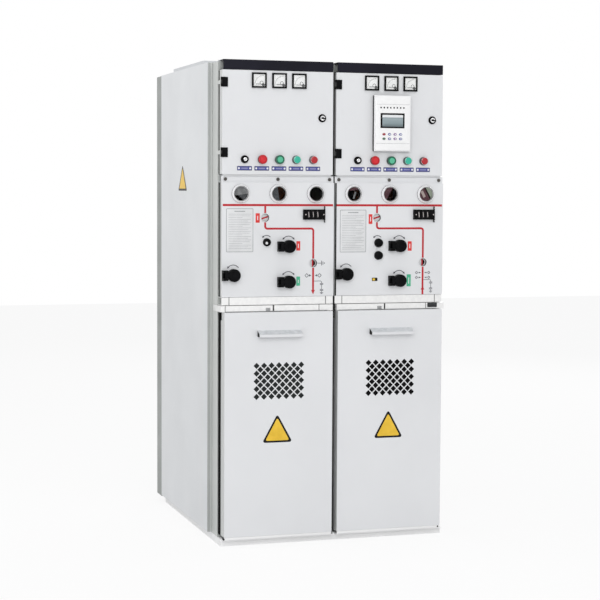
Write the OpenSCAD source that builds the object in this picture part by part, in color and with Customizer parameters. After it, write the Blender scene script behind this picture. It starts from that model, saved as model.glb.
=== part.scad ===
// Medium voltage switchgear: two metal-enclosed cubicles side by side, a load-break
// switch feeder on the left and a vacuum breaker feeder on the right.
// X runs to the right, Y to the rear, Z up; the origin is on the floor under the middle.

/* [Cubicles] */
// Width of one cubicle, and so the distance from one to the next
pitch = 500; // [460:1:600]
// Depth from the instrument door's face to the back of the rear cover
body_d = 1130; // [1000:5:1400]
// Height of the base frame
base_h = 30; // [30:1:80]
// Thickness of the folded steel sheet
sheet = 2; // [1.5:0.1:3]
// How far the end covers stand out
cover_t = 20; // [12:1:40]
// How far the front edge of an end cover lies behind the door face
cover_set = 150; // [100:1:250]
// Depth of the rear covers
rear_t = 94; // [60:1:140]

/* [Front] */
// Gap from the base frame to the cable door
door_bot = 12; // [8:1:30]
// Height of the cable door
cable_door_h = 949; // [900:1:1000]
// Height of the lower zinc rail
rail_low_h = 26; // [20:1:40]
// Height of the upper zinc rail
rail_up_h = 33; // [20:1:45]
// Height of the mimic panel
mimic_h = 481; // [481:1:540]
// Height of the strip with the fixing screws
strip_h = 27; // [20:1:40]
// Height of the instrument door
inst_door_h = 433; // [420:1:500]
// Height of the dark band over the door
band_h = 41; // [30:1:60]
// Gap between neighbouring doors
door_gap = 14; // [10:1:20]
// How far the cable door stands out past the instrument door
door_proud = 26; // [20:1:40]
// Depth of the cable door's sides
cable_door_d = 59; // [50:1:62]
// Depth of the instrument door's sides
inst_door_d = 38; // [30:1:42]
// Distance from the door face back to the frame posts
post_set = 62; // [60:1:80]
// Width of a frame post
post_w = 34; // [25:1:45]
// How far the cable door lifts off its hooks
lift = 30; // [20:1:32]

/* [Cable door] */
// Length of the bent handle
handle_l = 190; // [120:1:260]
// How far the handle stands out
handle_out = 34; // [25:1:45]
// Distance from one ventilation hole to the next
vent_pitch = 32.8; // [28:0.1:40]
// Size of a ventilation hole from corner to corner
vent_size = 27; // [15:0.1:27.5]
// Ventilation holes in a full row
vent_cols = 7; // [3:1:9]
// Full rows of ventilation holes
vent_rows = 5; // [3:1:9]

/* [Panel fittings] */
// Outer diameter of an inspection window's ring
port_d = 78; // [60:1:90]
// Distance between inspection windows
port_pitch = 165; // [130:1:175]
// Diameter of a flap cover
cap_d = 54; // [46:1:60]
// How far a flap cover stands out
cap_out = 30; // [24:1:34]
// Diameter of an operating shaft
shaft_d = 24; // [18:1:28]
// Diameter of a position indicator's window
ind_d = 38; // [30:1:44]
// Diameter of a turn knob
knob_d = 38; // [34:1:44]
// Diameter of the interlock's turn knob
lock_knob_d = 34; // [28:1:44]
// How far an inspection window's ring stands out
port_out = 14; // [11:1:18]
// Side of a meter's square bezel
meter_w = 63; // [60:1:72]
// Width of a meter's black frame
meter_rim = 6.5; // [4:0.5:8]
// Diameter of a push button's head
button_d = 38; // [28:1:40]
// How far a push button stands out
button_out = 22; // [15:1:30]
// How far a signal lamp stands out
lamp_out = 23; // [16:1:30]
// Travel of a push button
button_travel = 4; // [3:0.5:6]
// Running gap round shafts and pins, on the radius
run_gap = 0.1; // [0.05:0.01:0.2]
// Gap between pieces that move past each other
gap = 0.3; // [0.2:0.05:0.5]

/* [Inside] */
// Distance between phases
phase_d = 140; // [130:1:145]
// Diameter of a cable entry hole
entry_d = 110; // [80:1:120]
// Diameter of an anchor hole in the base frame
anchor_d = 14; // [10:1:18]
// Thickness of a busbar
bar_t = 8; // [6:1:12]
// Width of a busbar
bar_w = 50; // [40:1:80]
// Diameter of a post insulator
insulator_d = 62; // [50:1:80]

/* [Hidden] */
$fn = 48;
L = -1;
R = 1;
half = pitch / 2;
yf = -(body_d - door_proud - handle_out) / 2;
yb = yf + body_d;
y_post = yf + post_set;
y_rear = yb - rear_t;
y_mimic = yf + 4;
wall_gap = 0.5;
in_w = pitch - 2 * (sheet + wall_gap);
z_base = base_h;
z_cd = z_base + door_bot;
z_rl = z_cd + cable_door_h + 1;
z_ru = z_rl + rail_low_h + 2;
z_mp = z_ru + rail_up_h + 1;
z_st = z_mp + mimic_h;
z_id = z_st + strip_h + 6;
z_bd = z_id + inst_door_h + 2;
z_top = z_bd + band_h;
z_roof = z_top - 6;
rail_set = -3;
door_w = pitch - door_gap;
door_x = -half + 3;
door_y = yf - door_proud;
hinge_x = -half - 1;
hinge_y = yf - 4;
hinge_d = 7;
hinge_h = 40;
hinge_pin_d = 3;
knuckle_z = 12;
hinge_zs = [z_id + 71, z_id + 362];
rail_w = 50;
frame_corners = [-pitch + rail_w / 2, pitch - rail_w / 2];
anchor_ys = [yf + 5 + rail_w / 2, y_rear - rail_w / 2];
bus_zs = z_top - 240;
bus_ys = [yf + 520, yf + 690, yf + 860];
unit_y = yf + 225;
unit_d = 330;
unit_z0 = z_ru + 60;
unit_h = 340;
mech_y = y_mimic + 40;
tray_y = yf + 330;
post_dp = 28;
shaft_in = 30;
spindle_d = 8;
mech_z0 = z_mp + 20;
mech_h = 355;
bushing_d = 70;
term_top = unit_z0 + unit_h + 24;
phase_xs = [for (i = [-1:1]) i * phase_d];
ct_z = z_cd + 620;
ct_h = 160;
ct_d = 150;
term_z = z_cd + 420;
cable_y = yf + 420;
port_z = z_mp + 434;
sw_shaft = [45, z_mp + 212];
earth_shaft = [45, z_mp + 62];
spare_cap = [-197, z_mp + 92];
caps = [sw_shaft, earth_shaft, spare_cap];
sw_ind = [-58, z_mp + 333];
earth_ind = [155, z_mp + 140];
knob_l = [-51, z_mp + 230];
knobs_r = [[-51, z_mp + 225], [-51, z_mp + 171]];
meter_z = z_id + 392;
meter_xs = [-88, 0, 87];
row_z = z_id + 63;
selector_x = -150;
red_x = -75;
green_x = 0;
lamp_xs = [75, 150];
lock_pos = [190, z_id + 239];
meter_body = 56;
needle_off = 16;
relay_w = 166;
relay_h = 237;
relay_z = z_id + 103;
relay_out = 24;
block_w = 22;
block_h = 43;
cap_wall = 2.5;
pin_x = -cap_d / 2 - 8;
pin_out = 22;
pin_wall = 3.5;
block_x = 14.5;
slot_x = 9.5;
stop_wall = 5;
pin_d = 5;
knuckle_h = 22;
ind_depth = 11;
sleeve_t = 1.5;
switch_tilt = 72;
knob_grooves = 18;
cap_round = 7;
rail_end = 33;
rail_joint = -22;
joint_w = 2.2;
lamp_r = 17.5;
led_w = 7;
ring_bore = 10;
ring_lip = 6.7;
ring_seat = 6;
ring_foot = 4;
glass_t = 3.5;
meter_out = 8;
dial_depth = 4;
collar_out = 5;
collar_wall = 1;
barrel_l = 30;
selector_r = 10;
lock_r = 8.5;
lock_collar = 17;
lip_h = 11;
handle_h = 27;
strip_screw = 9;
rail_lip = 3;
bus_end = 70;
frame_t = 60;
end_rail = [60, 120];
hook_xs = [-150, 150];
hook_w = 40;
bus_hole_d = 100;
louvres = 8;
louvre_l = 220;
louvre_h = 6;
louvre_step = 24;
relief_in = 35;
relief_h = 30;
relief_y = yf + 450;
vent_hole_d = 120;
standoff = 124;
drop_z = 26;
drop_step = 45;
stud_d = 22;
unit_w = 400;
unit_cut = 40;
leg_xs = [-200, -75, 55, 180];
leg_t = 20;
pole_d = 118;
pole_rib_d = 132;
rib_step = 38;
pole_back = 70;
ct_w = 110;
ct_core_d = 70;
clamp_w = 80;
clamp_bore = 60;
clamp_z = z_base + 205;
boss_wall = 6;
vi_x = [108, 203];
vi_z = [z_mp + 325, z_mp + 368];
vi_out = 16;
vi_step = 20;
flange_x = 202;
flange_z = [z_mp + 313, z_mp + 381];
lcd_x = [-48, 62];
lcd_z = [relay_z + 98, relay_z + 162];
screen_in = [10, 7];
relay_leds = 8;
led_x = [-46, 58];
led_z = relay_z + 185;
key_x = [-31.5, 44];
key_z = [relay_z + 72, relay_z + 53];

module at(s) translate([s * half, 0, 0]) children();

module block(x0, x1, y0, y1, z0, z1) translate([x0, y0, z0]) cube([x1 - x0, y1 - y0, z1 - z0]);

// A cylinder that points to the front, from y0 back to y1
module rod(x, z, d, y0, y1) translate([x, y1, z]) rotate([90, 0, 0]) cylinder(d = d, h = y1 - y0);

// A channel with its web to the front and two flanges running back
module front_channel(x0, x1, y0, y1, z0, z1) difference() {
  block(x0, x1, y0, y1, z0, z1);
  block(x0 - 1, x1 + 1, y0 + sheet, y1 + 1, z0 + sheet, z1 - sheet);
}

// A folded tray, open towards +Y
module tray(x0, x1, y0, y1, z0, z1) difference() {
  block(x0, x1, y0, y1, z0, z1);
  block(x0 + sheet, x1 - sheet, y0 + sheet, y1 + 1, z0 + sheet, z1 - sheet);
}

// Welded base frame of C-section rails, open towards the inside, with anchor holes
module base_rail(x0, x1, y0, y1, wx, wy) difference() {
  block(x0, x1, y0, y1, 0, base_h);
  translate([wx, wy, 0]) block(x0, x1, y0, y1, rail_lip, base_h - rail_lip);
}

module base_frame() color("gainsboro") difference() {
  union() {
    base_rail(-pitch, pitch, yf + 5, yf + 5 + rail_w, 0, rail_lip);
    base_rail(-pitch, pitch, y_rear - rail_w, y_rear, 0, -rail_lip);
    base_rail(-pitch, -pitch + rail_w, yf + 5, y_rear, rail_lip, 0);
    base_rail(pitch - rail_w, pitch, yf + 5, y_rear, -rail_lip, 0);
    for (z = [0, base_h - rail_lip]) block(-rail_w / 2, rail_w / 2, yf + 6, y_rear - 1, z, z + rail_lip);
    block(-2, 2, yf + 6, y_rear - 1, 1, base_h - 1);
    for (s = [L, R]) at(s) block(-half + 6, half - 6, door_y + 4, yf + 6, base_h - rail_lip, base_h);
    for (s = [L, R], x = hook_xs) at(s) {
      block(x - hook_w / 2, x + hook_w / 2, door_y + 6, door_y + 26, base_h - 1, z_cd - gap);
    }
  }
  for (x = frame_corners, y = anchor_ys) translate([x, y, -1]) cylinder(d = anchor_d, h = base_h + 2);
}

// Four folded corner posts in each cubicle
module post(x0, y0, turn) translate([x0, y0, z_base]) rotate(turn) difference() {
  cube([post_w, post_dp, z_roof - z_base]);
  translate([sheet, sheet, -1]) cube([post_w - 2 * sheet, post_dp, z_roof - z_base + 2]);
}

module frame_posts() color("lightgray") for (s = [L, R]) at(s) {
  for (x = [-in_w / 2, in_w / 2 - post_w]) post(x, y_post, 0);
  for (x = [-in_w / 2 + post_w, in_w / 2]) post(x, y_rear, 180);
}

// Side walls, with openings for the busbars in the inner ones; tabs on each left wall
// reach forward and carry the fixed knuckles of the door hinges
module side_sheets() color("whitesmoke") for (s = [L, R], e = [L, R]) at(s) {
  x = e > 0 ? half - wall_gap - sheet : -half + wall_gap;
  difference() {
    block(x, x + sheet, y_post, y_rear, z_base, z_roof);
    if (s != e) for (y = bus_ys) translate([x - 1, y, bus_zs]) rotate([0, 90, 0]) {
      cylinder(d = bus_hole_d, h = sheet + 2);
    }
  }
  if (e < 0) for (z = hinge_zs) difference() {
    union() {
      block(x, x + sheet, hinge_y, y_post, z + knuckle_z, z + hinge_h - knuckle_z);
      rod_z(hinge_x, hinge_y, hinge_d, z + knuckle_z, z + hinge_h - knuckle_z);
    }
    rod_z(hinge_x, hinge_y, hinge_pin_d + 2 * run_gap, z, z + hinge_h);
  }
}

// End covers: shallow trays that close the line-up at both ends
module end_covers() color("gainsboro") for (s = [L, R]) {
  x0 = s > 0 ? pitch - wall_gap : -pitch - cover_t;
  difference() {
    block(x0, x0 + cover_t + wall_gap, yf + cover_set, y_rear, z_base + 4, z_roof + 2);
    translate([s > 0 ? -1 : sheet, 0, 0]) block(x0, x0 + cover_t + wall_gap - sheet + 1,
      yf + cover_set + sheet, y_rear - sheet, z_base + 4 + sheet, z_roof + 2 - sheet);
  }
}

// Rear covers: one deep pan on each cubicle, with louvres
module rear_covers() color("gainsboro") for (s = [L, R]) {
  x0 = s > 0 ? 1 : -pitch - cover_t;
  difference() {
    block(x0, x0 + pitch + cover_t - 1, y_rear, yb, z_base, z_roof);
    block(x0 + sheet, x0 + pitch + cover_t - 1 - sheet, y_rear - 1, yb - sheet,
      z_base + sheet, z_roof - sheet);
    for (i = [0:louvres - 1], z = [z_base + 250, z_roof - 420]) {
      block(s * half - louvre_l / 2, s * half + louvre_l / 2, yb - sheet - 1, yb + 1,
        z + i * louvre_step, z + i * louvre_step + louvre_h);
    }
  }
}

// Roof sheets with the raised covers of the pressure relief openings
module roof_sheets() color("whitesmoke") for (s = [L, R]) at(s) {
  w = half - relief_in;
  z1 = z_roof + sheet + relief_h;
  difference() {
    union() {
      block(-half + 1, half - 1, y_post, y_rear, z_roof, z_roof + sheet);
      block(-half + 1, half - 1, y_post, y_post + sheet, z_roof, z_top);
    }
    for (i = [0:1]) translate([0, (bus_ys[i] + bus_ys[i + 1]) / 2, z_roof - 1]) {
      cylinder(d = vent_hole_d, h = sheet + 2);
    }
  }
  difference() {
    block(-w, w, relief_y, y_rear - 20, z_roof + sheet, z1);
    block(-w + sheet, w - sheet, relief_y + sheet, y_rear - 20 - sheet, z_roof + sheet - 1, z1 - sheet);
  }
}

// Plates that divide each cubicle into its compartments, the floor with its cable entries,
// and the cross rails that carry the current transformers and the cable ends
module compartment_plates() color("silver") for (s = [L, R]) at(s) {
  w = in_w / 2;
  difference() {
    block(-w, w, y_post + post_dp, y_rear - post_dp, z_base, z_base + sheet);
    for (x = phase_xs) translate([x, cable_y, z_base - 1]) cylinder(d = entry_d, h = sheet + 2);
  }
  difference() {
    block(-w, w, y_post + post_dp, y_rear - post_dp, z_ru, z_ru + sheet);
    for (x = phase_xs) translate([x, cable_y, z_ru - 1]) cylinder(d = bushing_d + 4, h = sheet + 2);
  }
  difference() {
    block(-w, w, y_post - 40, tray_y, z_id - 2 * sheet, z_id - sheet);
    for (s = [L, R]) block(s * w - post_w - gap, s * w + post_w + gap, y_post - 41, y_post + post_dp + gap,
      z_id - 3 * sheet, z_id);
  }
  block(-w, w, tray_y + gap, tray_y + gap + sheet, z_id - 2 * sheet, z_roof);
  block(-w, w, cable_y + ct_d / 2, cable_y + ct_d / 2 + 3, ct_z + 20, ct_z + ct_h - 20);
  block(-w, w, cable_y + standoff, cable_y + standoff + 3, term_z + end_rail[0], term_z + end_rail[1]);
}

// Three main busbars with their droppers to the switches, the bars down to the cable ends,
// and the earth bar
module busbars() color("peru") {
  for (y = bus_ys) {
    block(-pitch + bus_end, pitch - bus_end, y - bar_t / 2, y + bar_t / 2,
      bus_zs - bar_w / 2, bus_zs + bar_w / 2);
  }
  for (s = [L, R], i = [0:2]) at(s) {
    dropper(phase_xs[i], bus_ys[i] + bar_t / 2, term_top + drop_z + i * drop_step);
  }
  for (s = [L, R], x = phase_xs) at(s) {
    rod_z(x, cable_y, stud_d, ct_z + ct_h, z_ru - 30);
    block(x - bar_w / 2, x + bar_w / 2, cable_y - bar_t / 2, cable_y + bar_t / 2, term_z + 60, ct_z);
  }
  for (s = [L, R]) at(s) block(-in_w / 2, in_w / 2, y_post + 40, y_post + 46, z_base + 90, z_base + 130);
}

// A flat bar from the top terminal of a switch up to its busbar, with three bends
module dropper(x, y, low) {
  y0 = cable_y - 20;
  x0 = x - bar_w / 2;
  x1 = x + bar_w / 2;
  block(x0, x1, y0, cable_y + 30, term_top, term_top + bar_t);
  block(x0, x1, y0, y0 + bar_t, term_top, low);
  block(x0, x1, y0, y + bar_t, low - bar_t, low);
  block(x0, x1, y, y + bar_t, low - bar_t, bus_zs + bar_w / 2);
}

module rod_z(x, y, d, z0, z1) translate([x, y, z0]) cylinder(d = d, h = z1 - z0);

// A ribbed cast-resin post insulator standing on its foot
module post_insulator(h, d) rotate_extrude() {
  ribs = floor(h / 24);
  square([d * 0.36, h]);
  for (k = [0:ribs - 1]) translate([0, h * (k + 0.5) / ribs - 4]) square([d / 2, 8]);
  square([d * 0.45, 8]);
  translate([0, h - 8]) square([d * 0.45, 8]);
}

// Post insulators that hang the busbars from the roof and carry the cable ends
module bus_insulators() color("firebrick") for (s = [L, R]) at(s) {
  for (i = [0:2]) translate([i == 1 ? 60 : -60, bus_ys[i], bus_zs + bar_w / 2]) {
    post_insulator(z_roof - bus_zs - bar_w / 2, insulator_d);
  }
  for (x = phase_xs) translate([x, cable_y + bar_t / 2, term_z + 90]) rotate([-90, 0, 0]) {
    post_insulator(standoff - bar_t / 2, insulator_d);
  }
}

// Switching units: on the left a cast-resin housing with three bays, on the right three
// upright vacuum poles between two frames; both have bushings above and below
module bushings() for (x = phase_xs) {
  translate([x, cable_y, unit_z0 + unit_h]) {
    cylinder(d1 = bushing_d, d2 = 44, h = term_top - unit_z0 - unit_h);
  }
  rod_z(x, cable_y, bushing_d, z_ru - 30, unit_z0);
}

module switch_units() color("saddlebrown") {
  w = unit_w / 2;
  z1 = unit_z0 + unit_h;
  y1 = unit_y + unit_d;
  c = unit_cut;
  at(L) {
    translate([-w, 0, 0]) rotate([90, 0, 90]) linear_extrude(unit_w) polygon([
      [unit_y, unit_z0 + c], [unit_y + c, unit_z0], [y1 - c, unit_z0], [y1, unit_z0 + c],
      [y1, z1 - c], [y1 - c, z1], [unit_y + c, z1], [unit_y, z1 - c]]);
    for (x = leg_xs) block(x, x + leg_t, unit_y, y1, z_ru + sheet, unit_z0 + c + leg_t);
    bushings();
  }
  at(R) {
    block(-w, w, unit_y, unit_y + frame_t, unit_z0, z1);
    for (z = [unit_z0, z1 - 30]) block(-w, w, unit_y, cable_y + pole_back, z, z + 30);
    for (x = phase_xs) {
      rod_z(x, cable_y, pole_d, unit_z0, z1);
      for (k = [1:6]) rod_z(x, cable_y, pole_rib_d, unit_z0 + 30 + k * rib_step, unit_z0 + 38 + k * rib_step);
    }
    for (x = leg_xs) block(x, x + leg_t, unit_y, cable_y + pole_back, z_ru + sheet, unit_z0 + 1);
    bushings();
  }
}

// Spring mechanisms in their sheet-metal boxes; bosses inside carry the operating shafts
module mechanism_boxes() color("darkgray") for (s = [L, R]) at(s) {
  w = in_w / 2 - post_w;
  boss_end = mech_y + shaft_in;
  big = [sw_shaft, earth_shaft];
  small = concat([sw_ind, earth_ind], s < 0 ? [knob_l] : knobs_r);
  difference() {
    union() {
      difference() {
        block(-w, w, mech_y, unit_y, mech_z0, mech_z0 + mech_h);
        block(-w + 3, w - 3, mech_y + 3, unit_y - 3, mech_z0 + 3, mech_z0 + mech_h - 3);
      }
      for (p = big) rod(p[0], p[1], shaft_d + 16, mech_y + 1, boss_end + boss_wall);
      for (p = small) rod(p[0], p[1], spindle_d + 12, mech_y + 1, boss_end + boss_wall);
    }
    for (p = big) rod(p[0], p[1], shaft_d + 2 * run_gap, mech_y - 1, boss_end + gap);
    for (p = small) rod(p[0], p[1], spindle_d + 2 * run_gap, mech_y - 1, boss_end + gap);
  }
  rod(spare_cap[0], spare_cap[1], shaft_d, y_mimic + 6, mech_y);
}

// Block current transformers, one on each phase
module current_transformers() color("sienna") for (s = [L, R], x = phase_xs) at(s) {
  block(x - ct_w / 2, x + ct_w / 2, cable_y - ct_d / 2, cable_y + ct_d / 2, ct_z + 12, ct_z + ct_h - 12);
  rod_z(x, cable_y, ct_core_d, ct_z, ct_z + ct_h);
}

// Bolted terminals at the cable ends and the rail with the cable clamps
module cable_terminals() color("silver") for (s = [L, R]) at(s) {
  w = clamp_w / 2;
  block(-in_w / 2, in_w / 2, cable_y + w, cable_y + w + 4, clamp_z - 5, clamp_z + 35);
  for (x = phase_xs) {
    difference() {
      block(x - w, x + w, cable_y - w, cable_y + w, clamp_z, clamp_z + 30);
      rod_z(x, cable_y, clamp_bore, clamp_z - 1, clamp_z + 31);
    }
    rod(x, term_z + 90, 20, cable_y - bar_t / 2 - 12, cable_y - bar_t / 2);
  }
}

// Mimic panels: folded sheet with the inspection windows and the holes for what turns
module panel_holes(s) {
  for (i = [-1:1]) rod(i * port_pitch, port_z, port_d - 14, y_mimic - 1, y_mimic + sheet + 1);
  for (p = [sw_shaft, earth_shaft]) rod(p[0], p[1], shaft_d + 4, y_mimic - 1, y_mimic + sheet + 1);
  for (p = [sw_ind, earth_ind]) rod(p[0], p[1], ind_d, y_mimic - 1, y_mimic + sheet + 1);
  for (p = s < 0 ? [knob_l] : knobs_r) rod(p[0], p[1], spindle_d + 4, y_mimic - 1, y_mimic + sheet + 1);
}

module mimic_panels() color("whitesmoke") for (s = [L, R]) at(s) difference() {
  tray(door_x, -door_x, y_mimic, y_mimic + 20, z_mp, z_st);
  panel_holes(s);
}

// Turned rings of the inspection windows, coned towards the glass and clamped in the panel
module porthole_rings() color("silver") for (s = [L, R], i = [-1:1]) at(s) {
  r = port_d / 2;
  translate([i * port_pitch, y_mimic, port_z]) rotate([90, 0, 0]) rotate_extrude() polygon([
    [r - ring_bore, -9], [r - 7.2, -9], [r - 7.2, 0], [r, 0], [r, ring_foot], [r - 0.8, ring_foot + 1],
    [r - ring_lip + 2.6, port_out - 0.6], [r - ring_lip + 2, port_out], [r - ring_lip + 1, port_out],
    [r - ring_lip, port_out - 2], [r - ring_lip, port_out - ring_seat],
    [r - ring_bore, port_out - ring_seat]]);
}

module porthole_glass() color("darkslategray") for (s = [L, R], i = [-1:1]) at(s) {
  back = y_mimic - port_out + ring_seat;
  rod(i * port_pitch, port_z, port_d - 2 * ring_lip, back - glass_t, back);
}

// Strip over the mimic panel, with its three screws
module fixing_strips() color("whitesmoke") for (s = [L, R]) at(s) {
  front_channel(door_x, -door_x, yf + 14, y_post, z_st, z_st + strip_h);
  for (x = [door_x + 18, 0, -door_x - 18]) rod(x, z_st + strip_h / 2, strip_screw, yf + 11, yf + 14);
}

// Zinc-plated front rails between the mimic panel and the cable door. The lower rail is in
// two halves whose ends turn in, and at each end of the line-up it returns along the wall
module rail_grooves(x0, x1, y, z0, z1) for (x = [x0 + rail_end, x1 - rail_end]) {
  block(x - joint_w / 2, x + joint_w / 2, y - 1, y + sheet * 0.7, z0 - 1, z1 + 1);
}

module lower_rail(s) {
  x0 = s < 0 ? -half - wall_gap - sheet : -half + 6;
  x1 = s < 0 ? half - 8 : half + wall_gap + sheet;
  y = yf + rail_set;
  z1 = z_rl + rail_low_h;
  difference() {
    union() {
      difference() {
        front_channel(x0, x1, y, y_post, z_rl, z1);
        block(rail_joint - 3, rail_joint + 3, y - 1, y_post + 1, z_rl - 1, z1 + 1);
      }
      for (e = [L, R]) block(rail_joint + e * 4 - 1, rail_joint + e * 4 + 1, y, y + 18, z_rl, z1);
      block(s < 0 ? x0 : x1 - sheet, s < 0 ? x0 + sheet : x1, y, yf + 125, z_rl, z1);
    }
    rail_grooves(-half + 6, half - 8, y, z_rl, z1);
  }
}

module front_rails() color("silver") for (s = [L, R]) at(s) {
  difference() {
    front_channel(-half + 3, half - 5, yf + 6, y_post, z_ru, z_ru + rail_up_h);
    rail_grooves(-half + 3, half - 5, yf + 6, z_ru, z_ru + rail_up_h);
  }
  lower_rail(s);
}

// Dark bands over the instrument doors
module name_bands() color("midnightblue") for (s = [L, R]) at(s) {
  front_channel(door_x + 5, door_x + door_w, yf, y_post, z_bd, z_top);
}

// Voltage indicators with their lamp windows and test sockets, the sleeves of the position
// indicators, and the blocks that the flap covers swing on
module voltage_indicator() {
  front = y_mimic - vi_out;
  zm = (vi_z[0] + vi_z[1]) / 2;
  difference() {
    block(vi_x[0], vi_x[1], front, y_mimic, vi_z[0], vi_z[1]);
    for (i = [0:2]) translate([vi_x[0] + 18 + i * vi_step, 0, 0]) {
      block(0, led_w, front - 1, front + 3, vi_z[0] + 8, vi_z[1] - 7);
    }
    for (i = [0:3]) translate([vi_x[0] + 8.5 + i * vi_step, 0, 0]) {
      rod(0, zm, 4, front - 1, front + 10);
      block(3.1, 4.1, front - 1, front + 0.8, vi_z[0] - 1, vi_z[1] + 1);
    }
  }
  difference() {
    block(flange_x, flange_x + 3, y_mimic - 10, y_mimic, flange_z[0], flange_z[1]);
    for (z = [flange_z[0] + 7, flange_z[1] - 7]) {
      block(flange_x - 1, flange_x + 4, y_mimic - 11, y_mimic - 4, z - 1.5, z + 1.5);
    }
  }
}

module panel_fittings() color("black") for (s = [L, R]) at(s) {
  voltage_indicator();
  for (p = [sw_ind, earth_ind]) difference() {
    rod(p[0], p[1], ind_d, y_mimic - 0.8, y_mimic + ind_depth + 4);
    rod(p[0], p[1], ind_d - 2 * sleeve_t, y_mimic - 1, y_mimic + ind_depth + 5);
  }
  for (p = caps) cover_block(p[0] + pin_x, p[1]);
}

// A hinge block: two cheeks with the pin hole, and behind them a stop for the open cover
module cover_block(x, z) difference() {
  front = y_mimic - pin_out - pin_d / 2 - pin_wall;
  slot = knuckle_h / 2 + gap;
  block(x - block_x, x + block_w - block_x, front, y_mimic, z - block_h / 2, z + block_h / 2);
  block(x - slot_x, x + block_w, front - 1, y_mimic - 3, z - slot, z + slot);
  block(x - block_x - 1, x, front - 1, y_mimic - pin_out + stop_wall, z - slot, z + slot);
  rod_z(x, y_mimic - pin_out, pin_d + 2 * run_gap, z - block_h, z + block_h);
}

// A flap cover: a moulded cap with a rounded rim and a finger lip, on an arm with its pin
function arc(cx, cy, r, a0, a1, n) = [
  for (i = [0:n]) let (a = a0 + (a1 - a0) * i / n) [cx + r * cos(a), cy + r * sin(a)]];

module cap_shell() {
  r = cap_d / 2;
  ri = r - cap_wall;
  h = cap_out;
  rotate_extrude() polygon(concat(
    [[0, h - 1.2], [r - cap_round - 5, h - 1.2], [r - cap_round - 4, h]],
    arc(r - cap_round, h - cap_round, cap_round, 90, 0, 6),
    [[r, gap], [ri, gap]],
    arc(ri - cap_round + 2, h - cap_round - 0.5, cap_round - 2, 0, 90, 5),
    [[0, h - cap_wall - 1.2]]));
}

module flap_cover(s, p) color("black") at(s) {
  x = p[0] + pin_x;
  y = y_mimic - pin_out;
  hh = knuckle_h / 2;
  translate([p[0], y_mimic, p[1]]) rotate([90, 0, 0]) cap_shell();
  block(x, p[0] - cap_d / 2 + 1.5, y - 5.5, y + 5.5, p[1] - hh, p[1] + hh);
  block(p[0] + cap_d / 2 - 1, p[0] + cap_d / 2 + 2.5, y_mimic - 12, y_mimic - 5, p[1] - 8, p[1] + 8);
  rod_z(x, y, 11.5, p[1] - hh, p[1] + hh);
  rod_z(x, y, pin_d, p[1] - block_h / 2, p[1] + block_h / 2);
}

// An operating shaft with a square socket for the loose handle
module operating_shaft(s, p) color("gray") at(s) difference() {
  rod(p[0], p[1], shaft_d, y_mimic - 6, mech_y + shaft_in);
  block(p[0] - 6, p[0] + 6, y_mimic - 7, y_mimic + 14, p[1] - 6, p[1] + 6);
}

// A position indicator: a disc deep in its sleeve, with a raised bar that follows the shaft
module position_indicator(s, p, tilt) color("white") at(s) {
  rod(p[0], p[1], ind_d - 2 * sleeve_t - 2 * gap, y_mimic + ind_depth, y_mimic + ind_depth + 3);
  rod(p[0], p[1], spindle_d, y_mimic + ind_depth + 2, mech_y + shaft_in);
  translate([p[0], 0, p[1]]) rotate([0, tilt, 0]) {
    block(-3.2, 3.2, y_mimic + ind_depth - 2, y_mimic + ind_depth + 1, 3 - ind_d / 2, ind_d / 2 - 3);
  }
}

// A round knob on its spindle: a grooved rim, a domed top and a raised mark
module turn_knob(s, p, d) color("black") at(s) {
  r = d / 2;
  difference() {
    translate([p[0], y_mimic - gap, p[1]]) rotate([90, 0, 0]) rotate_extrude() polygon(concat(
      [[0, 0], [r, 0], [r, 3], [r - 1.5, 4.5], [r - 1.5, 12]],
      arc(r - 6.5, 12, 5, 0, 80, 5), [[0, 19]]));
    for (i = [0:knob_grooves - 1]) translate([p[0], 0, p[1]]) rotate([0, i * 360 / knob_grooves, 0]) {
      rod(r - 0.6, 0, 2.2, y_mimic - 20, y_mimic - 5);
    }
  }
  rod(p[0], p[1], spindle_d, y_mimic - 2, mech_y + shaft_in);
  block(p[0] - 1.3, p[0] + 1.3, y_mimic - 19.8, y_mimic - 17, p[1] + 1, p[1] + r - 7);
}

// An instrument door: a folded pan with the cut-outs for what it carries
module inst_door(s) color("whitesmoke") at(s) difference() {
  tray(door_x, door_x + door_w, yf, yf + inst_door_d, z_id, z_id + inst_door_h);
  for (x = meter_xs) block(x - meter_body / 2 - 1, x + meter_body / 2 + 1, yf - 1, yf + sheet + 1,
    meter_z - meter_body / 2 - 1, meter_z + meter_body / 2 + 1);
  for (x = concat([selector_x, red_x, green_x], lamp_xs)) rod(x, row_z, 22.5, yf - 1, yf + sheet + 1);
  rod(lock_pos[0], lock_pos[1], 20, yf - 1, yf + sheet + 1);
  if (s > 0) block(-relay_w / 2 + 8, relay_w / 2 - 8, yf - 1, yf + sheet + 1,
    relay_z + 8, relay_z + relay_h - 8);
}

// Surface hinges of an instrument door: leaf, outer knuckles and pin
module door_hinges(s) color("black") at(s) for (z = hinge_zs) {
  block(hinge_x + 4, hinge_x + 28, yf - 4, yf, z, z + hinge_h);
  for (z0 = [z, z + hinge_h - knuckle_z + gap]) {
    rod_z(hinge_x, hinge_y, hinge_d, z0, z0 + knuckle_z - gap);
    block(hinge_x, hinge_x + 5, yf - 4, yf - 0.6, z0, z0 + knuckle_z - gap);
  }
  rod_z(hinge_x, hinge_y, hinge_pin_d, z, z + hinge_h);
}

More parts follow.
